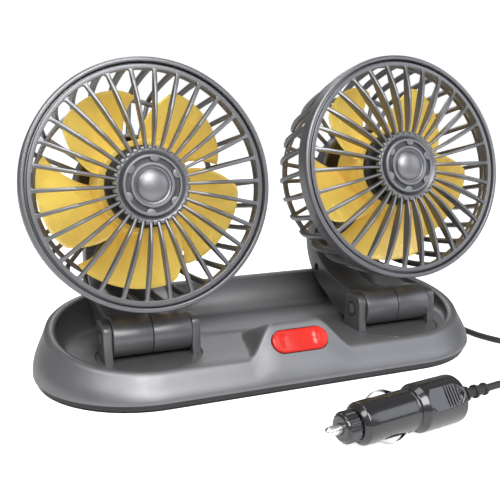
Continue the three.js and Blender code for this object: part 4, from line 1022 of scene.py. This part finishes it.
class CARFAN_OT_base(bpy.types.Operator):
    """Make the base shell, bottom plate, pad, gland and rocker"""
    bl_idname = "carfan.base"
    bl_label = "Base"

    def execute(self, context):
        self.shell()
        self.rocker()
        wall = SHELL_WALL + GAP
        plate = prism(stadium(FOOT_LENGTH / 2 - wall, END_RADIUS - wall, 64), FOOT_HEIGHT, PLATE_TOP, 0.2)
        make("bottom_plate", [plate], "black_plastic", "base")
        pad = prism(stadium(FOOT_LENGTH / 2 - PAD_INSET, END_RADIUS - PAD_INSET, 64), 0, PAD_TOP, 0.15)
        make("anti_slip_pad", [pad], "pad_rubber", "base")
        self.gland()
        paint("switch_body", "black_plastic")
        paint("circuit_board", "board_green")
        for k in range(1, 5):
            paint(f"base_screw_{k}", "steel")
        return {"FINISHED"}

    @staticmethod
    def stations():
        """Points round the plan: middle-line x, outward angle, and share of the switch platform there."""
        square = np.pi / 2
        angle = np.linspace(-square, square, END_STEPS)
        front = np.linspace(-END_CENTRE, END_CENTRE, FRONT_STEPS + 2)[1:-1]
        back = np.linspace(END_CENTRE, -END_CENTRE, BACK_STEPS + 2)[1:-1]
        end = np.full(END_STEPS, END_CENTRE)
        x = np.concatenate([end, back, -end, front])
        behind, before = np.full(BACK_STEPS, square), np.full(FRONT_STEPS, -square)
        out = np.concatenate([angle, behind, angle + np.pi, before])
        bump = np.zeros(len(x))
        bump[-FRONT_STEPS:] = 1 - smoothstep(np.abs(front - SWITCH_X), PLATFORM_TOP_HALF, PLATFORM_FOOT_HALF)
        return x, out, bump

    def shell(self):
        """Each station's section runs from the tray floor up a quarter ellipse, over the crest, which
        falls with a power of the way from its middle, down a bulged flank to the skirt and back inside
        the wall."""
        x, out, bump = self.stations()
        rise = bump * (PLATFORM_HEIGHT - CREST_FRONT)
        top = CREST_FRONT + CREST_SLOPE * (CREST_RADIUS * np.sin(out) + CREST_RADIUS) + rise
        middle = CREST_RADIUS - rise / FLANK_SLOPE
        inner, outer, edge = middle - CREST_HALF, middle + CREST_HALF, top - CREST_ROLL
        wall_rise = edge - TRAY_HEIGHT
        run = lerp(wall_rise * WALL_RUN_SHARE + CREST_ROLL, inner + PLATFORM_BACK, bump)

        def wall(share, depth):
            """The wall's line a share of the way down and a depth inside it: a quarter ellipse, and a
            straight slope behind the platform."""
            share = share[:, None]
            a = share * np.pi / 2
            across = inner - run * lerp(1 - np.cos(a), share, bump)
            height = edge - wall_rise * lerp(np.sin(a), share, bump)
            return across + depth * np.cos(a), height - depth * lerp(np.sin(a), 1, bump)

        wall_r, wall_z = wall(np.linspace(1, 0, 14), 0)
        u = np.linspace(-1, 1, 11)[1:, None]
        crest_r, crest_z = middle + u * CREST_HALF, top - CREST_ROLL * np.abs(u) ** 2.2
        v = np.linspace(0, 1, 14)[1:, None]
        end_top = CREST_FRONT + CREST_SLOPE * CREST_RADIUS
        bulge = FLANK_BULGE * (edge - SKIRT_HEIGHT) / (end_top - SKIRT_HEIGHT)
        flank_r = lerp(outer, WIDEST, v) + bulge * np.sin(np.pi * v**1.6)
        flank_z = lerp(edge, SKIRT_HEIGHT, v)
        skirt_r, skirt_z = [np.repeat(column[:, None], len(x), 1) for column in np.array(SKIRT_PROFILE).T]
        under_r, under_z = wall(np.linspace(0, 1, 6), SHELL_WALL)
        under_z[-1] = TRAY_HEIGHT - SHELL_WALL
        below_r = outer[None] - SHELL_WALL * math.sin(FLANK_TILT)
        below_z = edge[None] - SHELL_WALL * math.cos(FLANK_TILT)
        r = np.concatenate([wall_r, crest_r, flank_r, skirt_r, below_r, under_r])
        z = np.concatenate([wall_z, crest_z, flank_z, skirt_z, below_z, under_z])
        rings = np.stack([x + r * np.cos(out), r * np.sin(out), z], axis=2)
        piece = build("base_shell_shape", [loft(rings)], crease=30)
        seat = TURN_RADIUS + TURN_RUNNING
        well = disc([(seat, TRAY_HEIGHT - TURN_THICKNESS - GAP), (seat, TURN_CUT_TOP)], 160)
        cutters = [moved(well, place=(side * TURN_X, TURN_Y, 0)) for side in SIDES.values()]
        opening = stadium(ROCKER_LENGTH / 2 + ROCKER_RUNNING, ROCKER_WIDTH / 2 + ROCKER_RUNNING, 40)
        cutters.append(moved(prism(opening, *POCKET, CUT_EDGE), *switch_place()))
        carve(piece, cutters, crease=30)
        dress(piece, "base_plastic", "base", "base_plastic", "base_shell")
        # Painted shade: the tucked-in foot, below SKIRT_BAND, gets a near-black copy of the base colour
        second_finish(piece, "skirt_painted_shade", lambda middles: middles[:, 2] < SKIRT_BAND)

    @staticmethod
    def rocker():
        """A stadium cushion: its top dips along a parabola from its ends to its middle, is rounded at its
        rim, and has a shallow pad at each end, a bell curve along x."""
        half, width = ROCKER_LENGTH / 2, ROCKER_WIDTH / 2
        ends = stadium(half, width, 40)
        line = np.linspace(half - width, width - half, 22)[1:-1]
        long_side = np.stack([line, np.full(20, width)], axis=1)
        outline = np.concatenate([ends[:40], long_side, ends[40:], -long_side])
        rings = []
        for s in ROCKER_SHARES:
            x = outline[:, 0] * (half - width * (1 - s)) / half
            y = outline[:, 1] * s
            past = max(0.0, s - 1 + ROCKER_RIM_SHARE) / ROCKER_RIM_SHARE
            rim = ROCKER_RIM * (1 - math.sqrt(1 - past**2))
            pads = ROCKER_PAD * np.exp(-(((np.abs(x) - ROCKER_PAD_X) / ROCKER_PAD_HALF) ** 2))
            pads *= 1 - smoothstep(np.abs(y), *ROCKER_PAD_SIDE)
            z = ROCKER_PROUD - ROCKER_DIP * (1 - (x / half) ** 2) - rim + pads
            rings.append(np.stack([x, y, z], axis=1))
        rings += [np.column_stack([outline, np.full(len(outline), level)]) for level in (0.0, -ROCKER_DEPTH)]
        make("switch_rocker", [moved(loft(np.stack(rings)), *switch_place())], "switch_plastic", "rocker")

    @staticmethod
    def gland():
        """A revolved boot: flange, then a tapered sleeve with raised rings 2 mm apart, along +Y."""
        y = np.concatenate([[-5.0, 0.0, 0.01, 1.5, 1.6], np.linspace(1.7, 9.9, 60), [10.0]])
        radii, ways = np.array(GLAND_CONE).T
        wave = smoothstep(np.cos((y - 2.6) * np.pi), -0.3, 0.3) * (y > 1.8) * (y < 9.8)
        radius = np.interp(y, ways, radii) - GLAND_RING * wave
        turn = np.array([[1, 0, 0], [0, 0, 1], [0, -1, 0]], float)
        part = moved(disc(np.stack([radius, y], axis=1), 64), turn, (GLAND_X, WIDEST + GAP, GLAND_HEIGHT))
        make("cable_gland", [part], "relief_rubber", "base", "black_plastic")


class CARFAN_OT_arms(bpy.types.Operator):
    """Make the turntables, the arms and their hinges"""
    bl_idname = "carfan.arms"
    bl_label = "Turntables and arms"

    def execute(self, context):
        self.edge = context.scene.car_fan_sizes.edge / MM
        for name, side in SIDES.items():
            self.turntable(name, side)
            for half in (-1, 1):
                self.arm_half(name, side, half)
            for node in ("retainer", "retainer_screw", "hinge_bolt", "hinge_nut", "arm_screw"):
                paint(f"{name}_{node}", "steel")
            self.pin(name, side)
        return {"FINISHED"}

    def turntable(self, name, side):
        """A revolved disc with a spigot, and two ears drawn out along X. An ear has a flared foot, and a
        round recess over the bolt."""
        low = TRAY_HEIGHT - TURN_THICKNESS
        table = [(AXIS, low), (TURN_RADIUS, low), (TURN_RADIUS, TRAY_HEIGHT), (AXIS, TRAY_HEIGHT)]
        plate = disc(rounded(table, 0.5, ends=False), 160)
        spigot = disc([(SPIGOT_RADIUS, low - SPIGOT_DROP), (SPIGOT_RADIUS, low + 0.5)])
        corners = [
            (-EAR_FOOT_HALF, TRAY_HEIGHT - 0.5), (EAR_FOOT_HALF, TRAY_HEIGHT - 0.5),
            (EAR_HALF, TRAY_HEIGHT + 5), (EAR_HALF, EAR_TOP), (-EAR_HALF, EAR_TOP),
            (-EAR_HALF, TRAY_HEIGHT + 5),
        ]
        outline = rounded(corners, [0.1, 0.1, 3.0, EAR_CORNER, EAR_CORNER, 3.0], 12)
        recess = circle(48) * PIN_RECESS + (0, HINGE_HEIGHT)
        place = (side * TURN_X, TURN_Y, 0)

        def across(drawing, inner, outer, edge):
            """The drawing drawn out along X on the right, then on the left."""
            spans = ((inner, outer), (-outer, -inner))
            return [moved(prism(drawing, low_x, high_x, edge, "x"), place=place) for low_x, high_x in spans]

        ears = build(f"{name}_ears", across(outline, EAR_INNER, EAR_OUTER, self.edge))
        carve(ears, across(recess, EAR_OUTER - PIN_DEPTH, EAR_OUTER + 1, CUT_EDGE))
        node = f"{name}_turntable"
        piece = build(f"{node}_shape", [moved(plate, place=place), moved(spigot, place=place)])
        merged(piece, ears)
        dress(piece, "arm_plastic", node, "arm_plastic", node)

    @staticmethod
    def outline():
        """The arm's side view: smooth lines through the belly's and the throat's points, and the eye."""
        belly, throat = [smooth_line([(y, z - HINGE_HEIGHT) for y, z in line], 6) for line in (BELLY, THROAT)]
        eye = [
            (PIVOT_Y + KNUCKLE_RADIUS, PIVOT_UP - 2), (PIVOT_Y + KNUCKLE_RADIUS - 1, PIVOT_UP),
            (PIVOT_Y - KNUCKLE_RADIUS * math.cos(EYE_START), PIVOT_UP - KNUCKLE_RADIUS * math.sin(EYE_START)),
        ]
        return np.concatenate([belly, eye, throat])

    def arm_half(self, name, side, half):
        """Half an arm: a barrel on the hinge, a curved beam drawn out along X, and a cheek beside the
        head's lug. The slot for the lug and the screw's well are cut out."""
        place = (side * TURN_X, TURN_Y, HINGE_HEIGHT)
        pivot = (PIVOT_Y, PIVOT_UP)

        def across(drawing, inner, outer, edge):
            """The drawing drawn out along X between two distances from the arm's middle."""
            low, high = sorted((half * inner, half * outer))
            return moved(prism(drawing, low, high, edge, "x"), place=place)

        # The barrel and the eye stand a hair proud of the beam, so no two faces lie in one plane
        side_plane = ARM_HALF + ARM_PROUD
        barrel = across(circle(96) * BARREL_RADIUS, GAP / 2, side_plane, 0.5)
        eye = across(circle(96) * KNUCKLE_RADIUS + pivot, SLOT_HALF + ARM_PROUD, side_plane, self.edge)
        beam = build(f"{name}_beam", [across(self.outline(), GAP / 2, ARM_HALF, self.edge)])
        cutters = [across(circle(64) * SLOT_RADIUS + pivot, -SLOT_HALF, SLOT_HALF, CUT_EDGE)]
        if half < 0:
            well = circle(32) * ARM_WELL_RADIUS + (ARM_SCREW_Y, ARM_SCREW_Z - HINGE_HEIGHT)
            cutters.append(across(well, ARM_HALF / 2, ARM_HALF + 1, CUT_EDGE))
        carve(beam, cutters)
        node = f"{name}_arm_{'left' if half < 0 else 'right'}_half"
        piece = build(f"{node}_shape", [barrel, eye])
        merged(piece, beam)
        dress(piece, "arm_plastic", f"{name}_arm", "arm_plastic", node)

    @staticmethod
    def pin(name, side):
        """A revolved pin with a domed head, laid along X through the eye."""
        turn = np.array([[0, 0, 1], [0, 1, 0], [-1, 0, 0]], float)
        part = moved(disc(PIVOT_PIN, 48), turn, (side * TURN_X, TURN_Y + PIVOT_Y, PIVOT_Z))
        make(f"{name}_pivot_pin", [part], "steel", f"{name}_arm")


class CARFAN_OT_heads(bpy.types.Operator):
    """Make the rear cages, front grilles and hub caps"""
    bl_idname = "carfan.heads"
    bl_label = "Heads"

    def execute(self, context):
        sizes = context.scene.car_fan_sizes
        for name in SIDES:
            place = head_place(name)
            self.lay(name, "rear_cage", self.cage(), "head_plastic", place)
            self.lay(name, "front_grille", self.grille(sizes), "head_plastic", place)
            cap = self.lay(name, "hub_cap", self.cap(), "cap_plastic", place)
            # Painted shade: the groove's floor and walls get a copy of the head colour at half strength
            second_finish(cap, "groove_painted_shade", lambda middles: self.in_groove(middles, *place))
            paint(f"{name}_motor_stator", "copper")
            paint(f"{name}_shaft_bushing", "copper")
        return {"FINISHED"}

    @staticmethod
    def lay(name, node, parts, finish, place):
        """A piece in the head's own axes, laid in its place."""
        parts = [moved(part, *place) for part in parts]
        return make(f"{name}_{node}", parts, finish, f"{name}_head", "head_plastic")

    @staticmethod
    def in_groove(middles, turn, centre):
        """Whether each face's middle is on the floor or walls of the cap's groove, whose faces get painted
        shade.
        """
        local = (middles - centre) @ turn
        radius = np.hypot(local[:, 0], local[:, 1])
        (inner, outer), (low, high) = CAP_GROOVE, CAP_GROOVE_LEVELS
        return (local[:, 2] < high) & (local[:, 2] > low) & (radius > inner) & (radius < outer)

    @staticmethod
    def cage():
        """Rim, back ring and motor boss are revolved. A fin runs down the side, round its hook and in to
        the boss, and there are as many as spokes. The lug is drawn out along X."""
        rim = revolve(rounded(CAGE_RIM, CAGE_RIM_ROUNDING), 180)
        ring = revolve(rounded(CAGE_RING, 0.6), 180)
        path = np.concatenate([smooth_line(FIN_SIDE, 4)[:-1], smooth_line(FIN_HOOK, 4)])
        depths = np.interp(-path[:, 1], *np.array(FIN_DEPTHS).T)
        widths = FIN_WIDTH + flare(path[:, 1] - FIN_FLARE_START, FIN_FLARE, FIN_FILLET)
        fins = around(ribbon(path, widths, depths), SPOKES)
        boss = disc(rounded(CAGE_BOSS, 0.6, ends=False), 128)
        low, high = -LUG_RADIUS - RIM_RISE, LUG_RADIUS - RIM_RISE
        back = -RIM_FORWARD
        web = [(high + LUG_FLARE, CAGE_BACK), (high, back), (low, back), (low - LUG_FLARE, CAGE_BACK)]
        eye = circle(64) * LUG_RADIUS + (-RIM_RISE, back)
        lug = [prism(outline, -LUG_HALF, LUG_HALF, 0.6, "x") for outline in (rounded(web, 0.3), eye)]
        return [rim, ring, fins, boss, *lug]

    @staticmethod
    def grille(sizes):
        """A revolved rim, and spokes whose front follows the dome and whose width flares into the rim.
        The hub's outline swells to a tooth between each two spokes."""
        rim = revolve(rounded(GRILLE_RIM, GRILLE_RIM_ROUNDING), 180)
        way = np.concatenate([np.linspace(0, 0.08, 11), np.linspace(0.12, 0.88, 20), np.linspace(0.91, 1, 8)])
        radius = lerp(*SPOKE_ENDS, way)
        front, back = [np.interp(radius, *np.array(line).T) for line in (SPOKE_FRONT, SPOKE_BACK)]
        width = lerp(sizes.spoke_rim_width / MM, sizes.spoke_hub_width / MM, way)
        width += flare(radius - SPOKE_FLARE_START, SPOKE_FLARE, SPOKE_FILLET)
        path = np.stack([radius, (front + back) / 2], axis=1)
        spokes = around(ribbon(path, width, front - back, 16, 0.4), SPOKES)
        angle = np.arange(HUB_SIDES) * 2 * np.pi / HUB_SIDES
        swell = smoothstep(-np.cos(SPOKES * angle), -0.35, 0.25)
        bore = circle(HUB_SIDES)
        outline = bore * (HUB_RADIUS + HUB_TOOTH * swell)[:, None]
        rows = [
            (outline * 0.985, -0.8), (outline, -0.5), (outline, 2.4), (outline * 0.985, 2.7),
            (outline * 0.97, 2.8), (bore * (HUB_RECESS + 0.1), 2.8), (bore * (HUB_RECESS - 0.2), 2.6),
            (bore * (HUB_FLOOR_RADIUS + 0.1), 1.3), (bore * (HUB_FLOOR_RADIUS - 0.2), 1.2),
            (bore * HUB_BORE, 1.2), (bore * HUB_BORE, -0.8),
        ]
        rings = [np.column_stack([ring, np.full(HUB_SIDES, level)]) for ring, level in rows]
        return [rim, spokes, loft(np.stack(rings), closed=True)]

    @staticmethod
    def cap():
        """A revolved cap: chamfer, flat ring, groove, inner ring and a low dome, the dome a quarter
        ellipse. Six half-moon tabs stand in the groove, against its outer wall."""
        a = np.linspace(0, np.pi / 2, 14)[:-1]
        dome = np.stack([DOME_RADIUS * np.cos(a), DOME_FOOT + DOME_RISE * np.sin(a)], axis=1)
        profile = rounded(CAP_PROFILE, CAP_ROUNDING, ends=False)
        cap = disc(np.concatenate([profile, dome, [(0.05, DOME_FOOT + DOME_RISE)]]), 160)
        moon = circle(40) * TAB_RADIUS
        moon = moon[moon[:, 0] <= 0.05] + (CAP_GROOVE[1], 0)
        return [cap, around(prism(moon, *TAB_LEVELS, 0.2), TABS, TAB_START)]


class CARFAN_OT_rotors(bpy.types.Operator):
    """Make the rotors with their blades, and the motors"""
    bl_idname = "carfan.rotors"
    bl_label = "Rotors"

    def execute(self, context):
        thickness = context.scene.car_fan_sizes.blade_thickness / MM
        inner, outer = BELL_RADIUS + GAP, BELL_RADIUS + GAP + ROTOR_RING
        front, back = ROTOR_LEVELS
        ring = revolve(rounded([(inner, front), (outer, front), (outer, back), (inner, back)], 0.5), 128)
        blades = around(self.blade(thickness), BLADES)
        bell = disc(rounded(BELL_PROFILE, BELL_ROUNDING, ends=False))
        for name in SIDES:
            place = head_place(name)
            body = f"{name}_rotor"
            parts = [moved(part, *place) for part in (ring, blades)]
            rotor = build(f"{name}_fan_rotor_shape", parts, crease=50)
            dress(rotor, "blade_plastic", body, "blade_plastic", f"{name}_fan_rotor")
            make(f"{name}_motor_bell", [moved(bell, *place)], "black_plastic", body)
            paint(f"{name}_motor_shaft", "steel")
        return {"FINISHED"}

    @staticmethod
    def blade(thickness):
        """A twisted sheet. Its angle and depth run from the leading to the trailing edge and change from
        root to tip, its tip bulges out and its middle is cambered by 4u(1-u). The sheet is thickened
        along its normals, less and less near its free edges, so these are round."""
        u, v = np.meshgrid(np.linspace(0, 1, 41), np.linspace(0, 1, 25))

        def sheet(u, v):
            """The sheet's middle, u from the leading to the trailing edge and v from root to tip."""
            arch = 4 * u * (1 - u)
            tip = BLADE_RADIUS + BLADE_BULGE * arch - BLADE_CORNER * np.abs(2 * u - 1) ** 8
            radius = lerp(BELL_RADIUS + GAP + ROTOR_RING / 2, tip, v)
            sweep = v**1.3
            angle = np.radians(lerp(lerp(*LEADING_ANGLES, sweep), lerp(*TRAILING_ANGLES, sweep), u))
            depth = lerp(lerp(*LEADING_DEPTHS, v), lerp(*TRAILING_DEPTHS, v), u)
            height = BLADE_CAMBER * arch * v - depth
            return np.stack([radius * np.cos(angle), radius * np.sin(angle), height], axis=-1)

        h = 1e-4
        at = sheet(u, v)
        normal = np.cross(sheet(u + h, v) - at, sheet(u, v + h) - at)
        normal /= np.linalg.norm(normal, axis=-1, keepdims=True)
        rim = np.minimum(np.minimum(u, 1 - u) * 40, (1 - v) * 30)
        half = thickness / 2 * np.sqrt(1 - (1 - np.clip(rim, 0, 1)) ** 2 * 0.999)
        front = at + normal * half[..., None]
        back = at - normal * half[..., None]
        return loft(np.concatenate([front, back[:, ::-1]], axis=1))


class CARFAN_PT_panel(bpy.types.Panel):
    """Lists the steps that make the fan, and what a user may change"""
    bl_idname = "CARFAN_PT_panel"
    bl_label = "Car fan"
    bl_space_type = "VIEW_3D"
    bl_region_type = "UI"
    bl_category = "Car fan"

    def draw(self, context):
        column = self.layout.column()
        for group in (context.scene.car_fan_colours, context.scene.car_fan_sizes):
            for key in group.bl_rna.properties.keys():
                if key not in ("rna_type", "name"):
                    column.prop(group, key)
        for step in STEPS:
            column.operator(step.bl_idname)


STEPS = (
    CARFAN_OT_finishes, CARFAN_OT_stage, CARFAN_OT_plug, CARFAN_OT_cord, CARFAN_OT_base, CARFAN_OT_arms,
    CARFAN_OT_heads, CARFAN_OT_rotors,
)
GROUPS = (CarFanColours, CarFanSizes)


def register():
    for kind in (*GROUPS, *STEPS, CARFAN_PT_panel):
        bpy.utils.register_class(kind)
    bpy.types.Scene.car_fan_colours = PointerProperty(type=CarFanColours)
    bpy.types.Scene.car_fan_sizes = PointerProperty(type=CarFanSizes)


def unregister():
    del bpy.types.Scene.car_fan_sizes
    del bpy.types.Scene.car_fan_colours
    for kind in (CARFAN_PT_panel, *reversed(STEPS), *reversed(GROUPS)):
        bpy.utils.unregister_class(kind)


def main():
    """Makes everything in order."""
    register()
    bpy.ops.carfan.finishes()
    bpy.ops.carfan.stage()
    bpy.ops.carfan.plug()
    bpy.ops.carfan.cord()
    bpy.ops.carfan.base()
    bpy.ops.carfan.arms()
    bpy.ops.carfan.heads()
    bpy.ops.carfan.rotors()


if __name__ == "__main__":
    main()
